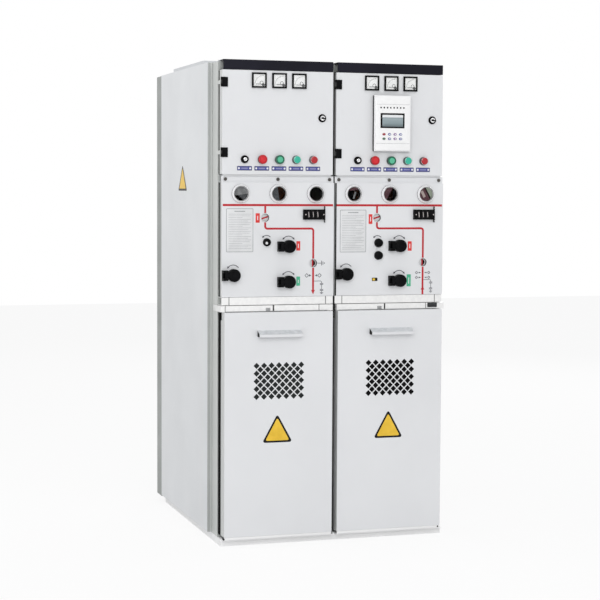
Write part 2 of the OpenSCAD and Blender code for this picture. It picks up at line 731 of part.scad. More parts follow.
// Meters, lamps, and the collars of the selector, the buttons and the lock
module door_instruments(s) color("black") at(s) {
  w = meter_w / 2;
  wb = meter_body / 2;
  wd = w - meter_rim;
  for (x = meter_xs) difference() {
    union() {
      block(x - w, x + w, yf - meter_out, yf, meter_z - w, meter_z + w);
      block(x - wb, x + wb, yf, yf + 50, meter_z - wb, meter_z + wb);
    }
    block(x - wd, x + wd, yf - meter_out - 1, yf - meter_out + dial_depth, meter_z - wd, meter_z + wd);
    rod(x + needle_off, meter_z - needle_off, 2 + 2 * run_gap, yf - 5, yf + 2.3);
  }
  for (x = lamp_xs) translate([x, yf, row_z]) rotate([90, 0, 0]) rotate_extrude() polygon(concat(
    [[0, -40], [11, -40], [11, 0], [lamp_r, 0], [lamp_r, 5], [lamp_r - 2, 7]],
    arc(lamp_r - 6.5, lamp_out - 6, 4.5, 0, 70, 5), [[0, lamp_out]]));
  collar(selector_x, row_z, 16.5, selector_r);
  for (x = [red_x, green_x]) collar(x, row_z, button_d / 2 - 1, selector_r);
  collar(lock_pos[0], lock_pos[1], lock_collar, lock_r);
}

// A collar clamped in a door, from its outer radius and its bore's radius
module collar(x, z, ro, ri) translate([x, yf, z]) rotate([90, 0, 0]) rotate_extrude() polygon([
  [ri, -barrel_l], [ri + collar_wall, -barrel_l], [ri + collar_wall, 0], [ro, 0],
  [ro, collar_out - 2], [ro - 2, collar_out], [ri, collar_out]]);

// A meter's needle on its spindle, at zero
module needle(s, x) color("black") at(s) translate([x + needle_off, 0, meter_z - needle_off]) {
  rod(0, 0, 8, yf - 6.2, yf - 4.5);
  rod(0, 0, 2, yf - 6, yf + 2);
  block(-30, 0, yf - 6, yf - 5.2, -0.8, 0.8);
}

// The lock's core with its swing flap in front and its cam behind the door
module door_lock(s) color("silver") at(s) translate([lock_pos[0], 0, lock_pos[1]]) {
  difference() {
    union() {
      rod(0, 0, 2 * (lock_r - run_gap), yf - 6, yf + 40);
      rod(0, 0, 20, yf - 9, yf - collar_out - gap);
    }
    rod(0, 0, 13, yf - 10, yf - 7.5);
  }
  block(-1.8, 1.8, yf - 12, yf - 7, -6.4, 6.4);
  block(-8, 8, yf + 40, yf + 43, -38, 8);
}

// The key-operated selector's core, with the slot for its key
module selector(s) color("silver") at(s) translate([selector_x, 0, row_z]) difference() {
  union() {
    rod(0, 0, 2 * (selector_r - run_gap), yf - 7, yf + barrel_l);
    rod(0, 0, 15, yf - 15, yf - 7);
    rod(0, 0, 13, yf - 16, yf - 15);
  }
  block(-1.2, 1.2, yf - 17, yf - 9, -4.5, 4.5);
}

// A push button: head, shoulder and plunger
module push_button(s, x, c) color(c) at(s) translate([x, yf, row_z]) rotate([90, 0, 0]) rotate_extrude() {
  r = button_d / 2;
  foot = collar_out + button_travel + gap;
  shank = selector_r - run_gap;
  polygon([
    [0, -26], [shank, -26], [shank, foot], [r, foot], [r, button_out - 2.5], [r - 0.8, button_out - 0.8],
    [r - 2.5, button_out], [r - 5.5, button_out], [r - 6.5, button_out - 1], [0, button_out - 1]]);
}

// The protection relay in the right door: a case behind, a front with its display window,
// a row of signal lamps and two rows of keys
module protection_relay() color("whitesmoke") at(R) {
  w = relay_w / 2;
  front = yf - relay_out;
  difference() {
    union() {
      block(-w, w, front + 4, yf, relay_z, relay_z + relay_h);
      block(-w + 4, w - 4, front, front + 5, relay_z + 4, relay_z + relay_h - 4);
    }
    block(lcd_x[0], lcd_x[1], front - 1, front + 2, lcd_z[0], lcd_z[1]);
    block(lcd_x[0] + screen_in[0], lcd_x[1] - screen_in[0], front, front + 4,
      lcd_z[0] + screen_in[1], lcd_z[1] - screen_in[1]);
    for (i = [0:relay_leds - 1]) {
      rod(led_x[0] + i * (led_x[1] - led_x[0]) / (relay_leds - 1), led_z, 4, front - 1, front + 1);
    }
  }
  for (i = [0:3], z = key_z) rod(key_x[0] + i * (key_x[1] - key_x[0]) / 3, z, 11, front - 1.5, front + 1);
  block(-w + 10, w - 10, yf, yf + 80, relay_z + 10, relay_z + relay_h - 10);
}

// A cable door: a deep pan with ventilation holes and a bent handle
module vent_grid() for (inner = [0, 1]) {
  cols = vent_cols - inner;
  rows = vent_rows - inner;
  for (i = [0:cols - 1], j = [0:rows - 1]) vent_hole(i - (cols - 1) / 2, j - (rows - 1) / 2);
}

module vent_hole(i, j) translate([i * vent_pitch, 0, j * vent_pitch]) rotate([90, 45, 0]) {
  side = vent_size / sqrt(2);
  translate([-side / 2, -side / 2, -5]) cube([side, side, 10]);
}

module cable_door(s) color("whitesmoke") at(s) {
  x0 = door_x + 5;
  x1 = door_x + door_w - 4;
  xm = (x0 + x1) / 2;
  difference() {
    tray(x0, x1, door_y, door_y + cable_door_d, z_cd, z_cd + cable_door_h);
    block(x0 - 1, x1 + 1, yf + rail_set - 3, yf + cable_door_d,
      z_cd + cable_door_h - lift - 4, z_cd + cable_door_h + 1);
    translate([xm, door_y, z_cd + 658]) vent_grid();
  }
  translate([xm - handle_l / 2, door_y, z_cd + 846]) rotate([90, 0, 90]) linear_extrude(handle_l) polygon([
    [0, handle_h], [0, lip_h + 7], [-handle_out + sheet, lip_h - 1],
    [-handle_out + sheet, 0], [-handle_out, 0],
    [-handle_out, lip_h], [-sheet, lip_h + 9], [-sheet, handle_h]]);
}

base_frame();
frame_posts();
side_sheets();
end_covers();
rear_covers();
roof_sheets();
compartment_plates();
busbars();
bus_insulators();
switch_units();
mechanism_boxes();
current_transformers();
cable_terminals();
mimic_panels();
porthole_rings();
porthole_glass();
fixing_strips();
front_rails();
name_bands();
panel_fittings();
inst_door(L);  // inst_door_left
inst_door(R);  // inst_door_right
door_hinges(L);  // door_hinges_left
door_hinges(R);  // door_hinges_right
door_instruments(L);  // door_instruments_left
door_instruments(R);  // door_instruments_right
needle(L, meter_xs[0]);  // needle_left_1
needle(L, meter_xs[1]);  // needle_left_2
needle(L, meter_xs[2]);  // needle_left_3
needle(R, meter_xs[0]);  // needle_right_1
needle(R, meter_xs[1]);  // needle_right_2
needle(R, meter_xs[2]);  // needle_right_3
door_lock(L);  // door_lock_left
door_lock(R);  // door_lock_right
selector(L);  // selector_left
selector(R);  // selector_right
push_button(L, red_x, "red");  // red_button_left
push_button(R, red_x, "red");  // red_button_right
push_button(L, green_x, "seagreen");  // green_button_left
push_button(R, green_x, "seagreen");  // green_button_right
protection_relay();
flap_cover(L, sw_shaft);  // switch_cover_left
flap_cover(R, sw_shaft);  // switch_cover_right
flap_cover(L, earth_shaft);  // earth_cover_left
flap_cover(R, earth_shaft);  // earth_cover_right
flap_cover(L, spare_cap);  // charge_cover_left
flap_cover(R, spare_cap);  // charge_cover_right
operating_shaft(L, sw_shaft);  // switch_shaft_left
operating_shaft(R, sw_shaft);  // switch_shaft_right
position_indicator(L, sw_ind, switch_tilt);  // switch_indicator_left
position_indicator(R, sw_ind, switch_tilt);  // switch_indicator_right
operating_shaft(L, earth_shaft);  // earth_shaft_left
operating_shaft(R, earth_shaft);  // earth_shaft_right
position_indicator(L, earth_ind, 0);  // earth_indicator_left
position_indicator(R, earth_ind, 0);  // earth_indicator_right
turn_knob(L, knob_l, lock_knob_d);  // interlock_knob_left
turn_knob(R, knobs_r[0], knob_d);  // close_knob_right
turn_knob(R, knobs_r[1], knob_d);  // open_knob_right
cable_door(L);  // cable_door_left
cable_door(R);  // cable_door_right
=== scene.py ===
import math

import bmesh
import bpy
from mathutils import Matrix, Vector


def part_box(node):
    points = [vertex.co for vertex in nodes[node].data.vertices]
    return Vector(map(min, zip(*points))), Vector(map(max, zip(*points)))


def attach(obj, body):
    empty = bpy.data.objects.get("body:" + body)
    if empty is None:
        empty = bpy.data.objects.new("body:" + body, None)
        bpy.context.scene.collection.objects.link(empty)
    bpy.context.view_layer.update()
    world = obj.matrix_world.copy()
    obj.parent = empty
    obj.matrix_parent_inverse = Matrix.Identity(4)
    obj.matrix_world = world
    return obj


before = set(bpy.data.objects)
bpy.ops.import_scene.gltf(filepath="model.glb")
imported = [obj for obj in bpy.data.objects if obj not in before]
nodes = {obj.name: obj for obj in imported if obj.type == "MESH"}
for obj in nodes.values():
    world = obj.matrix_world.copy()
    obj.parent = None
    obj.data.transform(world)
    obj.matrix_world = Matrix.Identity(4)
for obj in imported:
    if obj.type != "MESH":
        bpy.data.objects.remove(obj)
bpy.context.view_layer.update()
scene = bpy.context.scene
scene.view_settings.view_transform = "Standard"

# The camera. It stands to the left of the line-up at eye height, about seven metres away, and
# looks slightly down; its place, turn, tilt and roll were fitted to the photograph.
camera_at = Vector((-2.2549, -7.1601, 1.5083))
camera_yaw = 0.30708
camera_pitch = 0.0675
camera_roll = 0.00509
camera_lens = 98.54
look = Vector((
    math.sin(camera_yaw) * math.cos(camera_pitch),
    math.cos(camera_yaw) * math.cos(camera_pitch),
    -math.sin(camera_pitch),
))
level_right = Vector((math.cos(camera_yaw), -math.sin(camera_yaw), 0))
level_up = level_right.cross(look)
right = math.cos(camera_roll) * level_right + math.sin(camera_roll) * level_up
up = right.cross(look)
camera_data = bpy.data.cameras.new("camera")
camera_data.lens = camera_lens
camera_data.sensor_width = 36
camera_data.clip_end = 100
camera = bpy.data.objects.new("camera", camera_data)
camera.matrix_world = Matrix((
    (right.x, up.x, -look.x, camera_at.x),
    (right.y, up.y, -look.y, camera_at.y),
    (right.z, up.z, -look.z, camera_at.z),
    (0, 0, 0, 1),
))
scene.collection.objects.link(camera)
scene.camera = camera

# The studio: a pale floor, a white surround that only the camera and reflections see at full
# strength, and large soft lamps in front, above and to the left.
floor_reach = 14
surround_light = 0.55
floor_glow = 0.88


def node_tree(holder):
    holder.use_nodes = True
    tree = holder.node_tree
    tree.nodes.clear()
    return tree


def link_up(tree, *pairs):
    for a, b in pairs:
        tree.links.new(a, b)


def seen_directly(tree):
    """1 for camera, glossy and transmission rays, 0 for the light that falls on the object."""
    path = tree.nodes.new("ShaderNodeLightPath")
    first = tree.nodes.new("ShaderNodeMath")
    first.operation = "MAXIMUM"
    second = tree.nodes.new("ShaderNodeMath")
    second.operation = "MAXIMUM"
    link_up(
        tree,
        (path.outputs["Is Camera Ray"], first.inputs[0]),
        (path.outputs["Is Glossy Ray"], first.inputs[1]),
        (first.outputs[0], second.inputs[0]),
        (path.outputs["Is Transmission Ray"], second.inputs[1]),
    )
    return second.outputs[0]


world = bpy.data.worlds.new("surround")
scene.world = world
tree = node_tree(world)
fill = tree.nodes.new("ShaderNodeBackground")
fill.inputs["Color"].default_value = (0.985, 0.99, 1.0, 1)
fill.inputs["Strength"].default_value = surround_light
white = tree.nodes.new("ShaderNodeBackground")
white.inputs["Color"].default_value = (1, 1, 1, 1)
white.inputs["Strength"].default_value = 1.0
mix = tree.nodes.new("ShaderNodeMixShader")
out = tree.nodes.new("ShaderNodeOutputWorld")
link_up(
    tree,
    (seen_directly(tree), mix.inputs[0]),
    (fill.outputs[0], mix.inputs[1]),
    (white.outputs[0], mix.inputs[2]),
    (mix.outputs[0], out.inputs["Surface"]),
)

bpy.ops.object.select_all(action="DESELECT")
bpy.ops.mesh.primitive_plane_add(size=2 * floor_reach, location=(0, 0, -0.0005))
floor = bpy.context.object
floor.name = "floor"
floor_paint = bpy.data.materials.new("floor_paint")
tree = node_tree(floor_paint)
matt = tree.nodes.new("ShaderNodeBsdfDiffuse")
matt.inputs["Color"].default_value = (0.93, 0.93, 0.93, 1)
glow = tree.nodes.new("ShaderNodeEmission")
glow.inputs["Color"].default_value = (1, 1, 1, 1)
glow.inputs["Strength"].default_value = 1.0
share = tree.nodes.new("ShaderNodeMath")
share.operation = "MULTIPLY"
share.inputs[1].default_value = floor_glow
mix = tree.nodes.new("ShaderNodeMixShader")
out = tree.nodes.new("ShaderNodeOutputMaterial")
link_up(
    tree,
    (seen_directly(tree), share.inputs[0]),
    (share.outputs[0], mix.inputs[0]),
    (matt.outputs[0], mix.inputs[1]),
    (glow.outputs[0], mix.inputs[2]),
    (mix.outputs[0], out.inputs["Surface"]),
)
floor.data.materials.append(floor_paint)


def soft_lamp(name, place, aim, size, power):
    data = bpy.data.lights.new(name, "AREA")
    data.shape = "RECTANGLE"
    data.size = size[0]
    data.size_y = size[1]
    data.energy = power
    lamp = bpy.data.objects.new(name, data)
    lamp.location = place
    lamp.rotation_euler = (Vector(aim) - Vector(place)).to_track_quat("-Z", "Y").to_euler()
    scene.collection.objects.link(lamp)


soft_lamp("front_lamp", (-1.6, -6.0, 3.4), (0, -0.5, 1.0), (4.0, 3.0), 120)
soft_lamp("left_lamp", (-3.0, 0.5, 2.9), (-0.5, 0, 1.7), (1.5, 1.5), 20)
soft_lamp("top_lamp", (0.5, -0.5, 5.0), (0, 0, 1), (4.0, 4.0), 26)
soft_lamp("rear_lamp", (3.5, 5.5, 3.6), (0, 0.5, 1.0), (4.0, 3.0), 70)

# Base frame. The real one is welded from folded steel channel, drilled for the anchor bolts and
# sprayed the light grey of the cubicles; it carries both of them, so nothing on it moves. Here it
# is coloured near white, lighter than the cubicles, as painted light that offsets the shade it sits
# in under the doors.


def from_screen(r, g, b):
    """A colour written as it looks on a screen, 0 to 255, as the light that it reflects."""
    parts = [c / 255 for c in (r, g, b)]
    return tuple(p / 12.92 if p < 0.04 else ((p + 0.055) / 1.055) ** 2.4 for p in parts) + (1,)


def patches(tree, per_metre, detail=3.0, stretch=(1, 1, 1)):
    """Cloudy values from 0 to 1 on the piece's own coordinates."""
    place = tree.nodes.new("ShaderNodeTexCoord")
    turn = tree.nodes.new("ShaderNodeMapping")
    turn.inputs["Scale"].default_value = stretch
    noise = tree.nodes.new("ShaderNodeTexNoise")
    noise.inputs["Scale"].default_value = per_metre
    noise.inputs["Detail"].default_value = detail
    link_up(
        tree,
        (place.outputs["Object"], turn.inputs["Vector"]),
        (turn.outputs["Vector"], noise.inputs["Vector"]),
    )
    return noise.outputs["Fac"]


def between(tree, value, low, high):
    """Spreads the middle of a cloudy value over low to high."""
    reach = tree.nodes.new("ShaderNodeMapRange")
    reach.inputs["From Min"].default_value = 0.3
    reach.inputs["From Max"].default_value = 0.7
    reach.inputs["To Min"].default_value = low
    reach.inputs["To Max"].default_value = high
    link_up(tree, (value, reach.inputs["Value"]))
    return reach.outputs["Result"]


def two_tone(tree, value, dark, light):
    """Runs from one colour to the other as a cloudy value rises."""
    ramp = tree.nodes.new("ShaderNodeValToRGB")
    ramp.color_ramp.elements[0].position = 0.3
    ramp.color_ramp.elements[0].color = dark
    ramp.color_ramp.elements[1].position = 0.7
    ramp.color_ramp.elements[1].color = light
    link_up(tree, (value, ramp.inputs["Fac"]))
    return ramp.outputs["Color"]


def relief(tree, shader, value, depth, strength=1.0):
    """Raises the surface by a value, depth in metres."""
    bump = tree.nodes.new("ShaderNodeBump")
    bump.inputs["Distance"].default_value = depth
    bump.inputs["Strength"].default_value = strength
    link_up(
        tree,
        (value, bump.inputs["Height"]),
        (bump.outputs["Normal"], shader.inputs["Normal"]),
    )


def shader_of(name):
    """A new material with one principled shader; returns the material, its tree and the shader."""
    material = bpy.data.materials.new(name)
    tree = node_tree(material)
    shader = tree.nodes.new("ShaderNodeBsdfPrincipled")
    out = tree.nodes.new("ShaderNodeOutputMaterial")
    link_up(tree, (shader.outputs[0], out.inputs["Surface"]))
    return material, tree, shader


def shader_in(material):
    """The principled shader of a finished material."""
    return next(n for n in material.node_tree.nodes if n.type == "BSDF_PRINCIPLED")


def coated(name, dark, light, gloss=(0.38, 0.5), peel=900):
    """Powder coat: a faint cloudy tone, gloss that varies, and a fine orange peel."""
    material, tree, shader = shader_of(name)
    link_up(
        tree,
        (two_tone(tree, patches(tree, 2.5), dark, light), shader.inputs["Base Color"]),
        (between(tree, patches(tree, 9), *gloss), shader.inputs["Roughness"]),
    )
    relief(tree, shader, patches(tree, peel, 1.0), 0.00004, 0.35)
    return material


def dress(name, material, edge=0.0008, turned=False, flat=False):
    """Gives a CAD node its finish and softens its edges; a turned one is shaded round, and a flat
    one first has the seams in its flat faces dissolved."""
    node = nodes[name]
    node.data.materials.clear()
    node.data.materials.append(material)
    if "custom_normal" in node.data.attributes:
        node.data.attributes.remove(node.data.attributes["custom_normal"])
    weld = node.modifiers.new("weld", "WELD")
    weld.merge_threshold = 0.00001
    if flat:
        merge = node.modifiers.new("flats", "DECIMATE")
        merge.decimate_type = "DISSOLVE"
        merge.angle_limit = math.radians(1)
    if edge:
        bevel = node.modifiers.new("edges", "BEVEL")
        bevel.width = edge
        bevel.segments = 2
        bevel.limit_method = "ANGLE"
        bevel.angle_limit = math.radians(40)
    if turned:
        node.data.shade_smooth()
        weigh = node.modifiers.new("round", "WEIGHTED_NORMAL")
        weigh.mode = "FACE_AREA_WITH_ANGLE"
    else:
        node.data.shade_flat()


# Painted light: the base is coloured near white to offset the shade under the doors.
base_coat = coated("base_coat", from_screen(248, 248, 248), from_screen(252, 252, 252))
dress("base_frame", base_coat, 0.001)

# Posts, side walls and roof sheets. All are folded from two millimetre sheet and powder coated
# before assembly; the posts and walls were sprayed in another batch, a little darker and greener.
# The left walls carry the fixed knuckles of the door hinges, which are black.


def axis_of(tree, output, axis):
    """X, Y or Z of a point of the piece ("Object") or of the way its surface faces ("Normal")."""
    place = tree.nodes.new("ShaderNodeTexCoord")
    split = tree.nodes.new("ShaderNodeSeparateXYZ")
    link_up(tree, (place.outputs[output], split.inputs["Vector"]))
    return split.outputs[axis]


def blend(tree, share, first, second):
    """Goes from one colour to a second as a share goes from 0 to 1; the first may be an output."""
    mix = tree.nodes.new("ShaderNodeMix")
    mix.data_type = "RGBA"
    if isinstance(first, tuple):
        mix.inputs["A"].default_value = first
    else:
        link_up(tree, (first, mix.inputs["A"]))
    mix.inputs["B"].default_value = second
    link_up(tree, (share, mix.inputs["Factor"]))
    return mix.outputs["Result"]


def painted_over(material, share, colour):
    """Gives a finish a second colour where the share is 1."""
    tone = shader_in(material).inputs["Base Color"]
    first = tone.links[0].from_socket
    link_up(material.node_tree, (blend(material.node_tree, share, first, colour), tone))


post_coat = coated("post_coat", from_screen(196, 200, 197), from_screen(206, 209, 206))
powder_coat = coated("powder_coat", from_screen(214, 216, 218), from_screen(220, 222, 224))
dress("frame_posts", post_coat)
dress("roof_sheets", powder_coat, 0.0006)
shader_in(powder_coat).inputs["Specular IOR Level"].default_value = 0.15

wall_coat = coated("wall_coat", from_screen(203, 206, 203), from_screen(211, 213, 210))
tree = wall_coat.node_tree
knuckles = tree.nodes.new("ShaderNodeMath")
knuckles.operation = "LESS_THAN"
knuckles.inputs[1].default_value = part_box("inst_door_left")[0].y - 0.0004
link_up(tree, (axis_of(tree, "Object", "Y"), knuckles.inputs[0]))
painted_over(wall_coat, knuckles.outputs[0], from_screen(14, 14, 15))
dress("side_sheets", wall_coat, 0.0006)

# End covers and rear covers. The end covers are shallow trays and the rear covers deeper pans with
# louvres, all of the same sheet, hooked over the frame at the top and screwed along the edges.
cover_coat = coated("cover_coat", from_screen(222, 224, 226), from_screen(229, 231, 233))
dress("end_covers", cover_coat, 0.0015)
rear_coat = coated("rear_coat", from_screen(140, 144, 142), from_screen(150, 154, 151))
dress("rear_covers", rear_coat, 0.0015)

# Compartment plates, mechanism boxes, cable rails and front rails. They are bare zinc-plated
# sheet: bright, slightly warm, with a fine crystal pattern and long rolling marks.


def plated(name, dark, light, shine=(0.24, 0.42), roll=(1, 1, 0.06)):
    """Zinc plate or another bare metal: small clouds of tone and shine, and rolling marks."""
    material, tree, shader = shader_of(name)
    shader.inputs["Metallic"].default_value = 0.85
    link_up(
        tree,
        (two_tone(tree, patches(tree, 60, 5.0), dark, light), shader.inputs["Base Color"]),
        (between(tree, patches(tree, 35, 4.0), *shine), shader.inputs["Roughness"]),
    )
    relief(tree, shader, patches(tree, 500, 2.0, roll), 0.00003, 0.4)
    return material


zinc_plate = plated("zinc_plate", from_screen(196, 196, 194), from_screen(232, 231, 228))
for name in ("compartment_plates", "mechanism_boxes", "cable_terminals"):
    dress(name, zinc_plate, 0.0005)
rail_zinc = plated("rail_zinc", from_screen(228, 228, 228), from_screen(238, 238, 237), (0.42, 0.5))
dress("front_rails", rail_zinc, 0.0008)

# Busbars, droppers and earth bar. They are rolled copper flat, darkened by handling in brown
# clouds, and run through both cubicles behind the switches.
copper, tree, shader = shader_of("copper")
shader.inputs["Metallic"].default_value = 1.0
link_up(
    tree,
    (
        two_tone(
            tree, patches(tree, 14, 6.0), from_screen(150, 88, 58), from_screen(214, 142, 104)
        ),
        shader.inputs["Base Color"],
    ),
    (between(tree, patches(tree, 30, 4.0), 0.22, 0.45), shader.inputs["Roughness"]),
)
relief(tree, shader, patches(tree, 700, 2.0, (0.05, 1, 1)), 0.00003, 0.4)
dress("busbars", copper, 0.0012)

# Post insulators, switching units and current transformers. They are cast in filled epoxy
# resin, red for the insulators and brown for the rest, glossy where the mould was polished.


def cast_resin(name, dark, light):
    """Filled epoxy resin: cloudy, with a thin glossy skin and a faint unevenness."""
    material, tree, shader = shader_of(name)
    shader.inputs["Coat Weight"].default_value = 0.35
    shader.inputs["Coat Roughness"].default_value = 0.12
    link_up(
        tree,
        (two_tone(tree, patches(tree, 8, 5.0), dark, light), shader.inputs["Base Color"]),
        (between(tree, patches(tree, 25), 0.25, 0.45), shader.inputs["Roughness"]),
    )
    relief(tree, shader, patches(tree, 260, 3.0), 0.00006, 0.4)
    return material


red_resin = cast_resin("red_resin", from_screen(120, 38, 30), from_screen(146, 52, 40))
brown_resin = cast_resin("brown_resin", from_screen(86, 48, 34), from_screen(108, 62, 44))
dress("bus_insulators", red_resin, 0, True)
for name in ("switch_units", "current_transformers"):
    dress(name, brown_resin, 0.002, True)

# Instrument doors, mimic panels, fixing strips and cable doors. All are folded from sheet and
# powder coated light grey, smoother than the walls; the returns on their left are coloured darker
# as painted shade.


def grown(tree, value, start, end):
    """Grows from 0 to 1 as a value goes from start to end."""
    reach = tree.nodes.new("ShaderNodeMapRange")
    reach.inputs["From Min"].default_value = start
    reach.inputs["From Max"].default_value = end
    link_up(tree, (value, reach.inputs["Value"]))
    return reach.outputs["Result"]


front_coat = coated(
    "front_coat", from_screen(229, 230, 232), from_screen(234, 235, 237), (0.34, 0.46), 1100
)
tree = front_coat.node_tree
# Painted shade: faces that look to the left are coloured darker.
left_return_shade = grown(tree, axis_of(tree, "Normal", "X"), -0.3, -0.7)
painted_over(front_coat, left_return_shade, from_screen(207, 209, 208))
for name in (
    "inst_door_left", "inst_door_right", "mimic_panels", "fixing_strips",
    "cable_door_left", "cable_door_right",
):
    dress(name, front_coat, 0.0009, flat=name.startswith("inst_door"))

# Bands over the doors. Each is a folded cap of sheet, covered with a plain blue-black film that
# has a low sheen.
band_film, tree, shader = shader_of("band_film")
link_up(
    tree,
    (
        two_tone(tree, patches(tree, 5), from_screen(16, 16, 27), from_screen(24, 24, 37)),
        shader.inputs["Base Color"],
    ),
    (between(tree, patches(tree, 20), 0.28, 0.4), shader.inputs["Roughness"]),
)
shader.inputs["Specular IOR Level"].default_value = 0.15
relief(tree, shader, patches(tree, 400, 2.0), 0.00003, 0.3)
dress("name_bands", band_film, 0.0012)

# Door seals. Extruded rubber strips are glued to the posts behind the edges of every door and
# panel: grey behind the instrument doors and mimic panels, black behind the cable doors. Their dark
# tones are also painted shade, standing in for the shade in the gaps round the doors.
centre = {"left": -0.25, "right": 0.25}
doors_low, doors_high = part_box("inst_door_left")
cable_low, cable_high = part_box("cable_door_left")
panel_low, panel_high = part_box("mimic_panels")
door_face, panel_face = doors_low.y, panel_low.y
post_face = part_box("frame_posts")[0].y
lock_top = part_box("door_lock_left")[1].z
seal_w = 0.008
seal_reach = 0.2455
seal_gap = 0.0006
right_inset = 0.014
end_gap = 0.002
cam_below, cam_above = 0.024, 0.004
cable_seal_d = 0.029


def add_block(name, low, high):
    """A box from its low to its high corner, ready to be shaped."""
    bpy.ops.object.select_all(action="DESELECT")
    middle = [(a + b) / 2 for a, b in zip(low, high)]
    size = [b - a for a, b in zip(low, high)]
    bpy.ops.mesh.primitive_cube_add(size=1, location=middle, scale=size)
    piece = bpy.context.object
    piece.name = name
    bpy.ops.object.transform_apply(location=True, rotation=True, scale=True)
    return piece


def pick(kind, test):
    """Selects, in edit mode, the faces or edges that pass the test, and nothing else."""
    bpy.ops.mesh.select_mode(type=kind)
    bpy.ops.mesh.select_all(action="DESELECT")
    mesh = bmesh.from_edit_mesh(bpy.context.object.data)
    for part in mesh.faces if kind == "FACE" else mesh.edges:
        part.select_set(test(part))
    bmesh.update_edit_mesh(bpy.context.object.data)


def forward(face):
    return face.normal.y < -0.9


def rises(edge):
    """An edge that runs from the front to the back."""
    a, b = (v.co for v in edge.verts)
    return abs((b - a).normalized().y) > 0.95


def outward():
    """Merges doubles and turns every face outwards, then leaves edit mode."""
    bpy.ops.mesh.select_all(action="SELECT")
    bpy.ops.mesh.remove_doubles(threshold=0.000005)
    bpy.ops.mesh.normals_make_consistent(inside=False)
    bpy.ops.object.mode_set(mode="OBJECT")


def choose(*pieces):
    """Selects these pieces and nothing else, and makes the first of them the active one."""
    bpy.ops.object.select_all(action="DESELECT")
    for piece in pieces:
        piece.select_set(True)
    bpy.context.view_layer.objects.active = pieces[0]


def finish_piece(piece, body, material):
    """Smooths the piece's soft edges, gives it its finish and lets it ride on its body."""
    choose(piece)
    bpy.ops.object.shade_smooth_by_angle(angle=math.radians(32))
    piece.data.materials.clear()
    piece.data.materials.append(material)
    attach(piece, body)
    return piece


def joined(name, pieces):
    """Makes one piece of several."""
    choose(*pieces)
    if len(pieces) > 1:
        bpy.ops.object.join()
    whole = bpy.context.object
    whole.name = name
    return whole


def plate(name, low, high, corner, rim):
    """A moulded or punched plate: a block with round corners and a softened front edge."""
    piece = add_block(name, low, high)
    bpy.ops.object.mode_set(mode="EDIT")
    if corner:
        pick("EDGE", rises)
        bpy.ops.mesh.bevel(offset=corner, segments=4, affect="EDGES")
    if rim:
        pick("FACE", forward)
        bpy.ops.mesh.bevel(offset=rim, segments=2, affect="EDGES")
    outward()
    return piece


def rubbery(name, dark, light):
    """Extruded rubber: matt, faintly clouded, with a fine uneven skin."""
    material, tree, shader = shader_of(name)
    link_up(
        tree,
        (two_tone(tree, patches(tree, 40), dark, light), shader.inputs["Base Color"]),
        (between(tree, patches(tree, 60), 0.6, 0.8), shader.inputs["Roughness"]),
    )
    relief(tree, shader, patches(tree, 900, 2.0), 0.00006, 0.5)
    return material


rubber = rubbery("rubber", from_screen(6, 6, 6), from_screen(14, 14, 14))
shader_in(rubber).inputs["Specular IOR Level"].default_value = 0.05
grey_rubber = rubbery("grey_rubber", from_screen(44, 46, 45), from_screen(58, 60, 58))

# Painted shade: the seals are coloured to darken the gaps round the doors and panels.
seal_spans = {
    "door": (doors_low.z, doors_high.z, doors_high.y),
    "panel": (panel_low.z, panel_high.z, panel_high.y),
    "cable": (cable_low.z, cable_high.z - end_gap, post_face - cable_seal_d),
}
for side, x in centre.items():
    blacks, greys = [], []
    for where, (z0, z1, y0) in seal_spans.items():
        for x0 in (x - seal_reach, x + seal_reach - right_inset - seal_w):
            spans = [(z0 + end_gap, z1 - end_gap)]
            if where == "door" and x0 > x:
                spans = [(z0 + end_gap, lock_top - cam_below), (lock_top + cam_above, z1 - end_gap)]
            for low_z, high_z in spans:
                low = (x0, y0 + seal_gap, low_z)
                high = (x0 + seal_w, post_face, high_z)
                strip = plate(f"seal_{where}_{side}", low, high, 0.0, 0.002)
                (blacks if where == "cable" else greys).append(strip)
    finish_piece(joined(f"cable_door_seals_{side}", blacks), "root", rubber)
    finish_piece(joined(f"door_seals_{side}", greys), "root", grey_rubber)

# Painted shade in the gaps between the cubicles. A black strip on the left edge of the right-hand
# mimic panel stands in for the shade on that edge, and black blocks fill the gap beside the strips,
# rails and doors to paint its shade.
# Painted shade: black strips and blocks where the gaps lie in shade.
edge_shade_x = (0.0031, 0.0088)
low = (edge_shade_x[0], panel_face - 0.0006, panel_low.z + 0.001)
high = (edge_shade_x[1], panel_face + 0.006, panel_high.z - 0.001)
edge_shade_strip = plate("panel_edge_shade", low, high, 0.0, 0.0006)
bpy.ops.object.mode_set(mode="EDIT")
pick("EDGE", lambda e: all(v.co.x > edge_shade_x[1] - 1e-4 and v.co.y < panel_face for v in e.verts))
bpy.ops.mesh.bevel(offset=0.0004, segments=2, affect="EDGES")
outward()
finish_piece(edge_shade_strip, "root", rubber)
shade_blocks = []
strip_low, strip_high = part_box("fixing_strips")
rails_low, rails_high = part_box("front_rails")
block_clearance = 0.001
cable_shade_z = 0.0360
middle_gap = (-0.0029, 0.0029)
door_gap = (-0.0109, -0.0010)
cable_gap = (-0.0149, 0.0000)
for (x0, x1), z0, z1 in (
    (middle_gap, strip_low.z, strip_high.z), (middle_gap, rails_low.z, rails_high.z),
    (door_gap, doors_low.z, doors_high.z), (cable_gap, cable_shade_z, rails_low.z),
):
    low = (x0, max(strip_low.y + 0.004, door_face + 0.016), z0 + block_clearance)
    high = (x1, post_face - block_clearance, z1 - block_clearance)
    shade_blocks.append(plate("plug", low, high, 0.0, 0.0015))
finish_piece(joined("gap_shade_blocks", shade_blocks), "root", rubber)
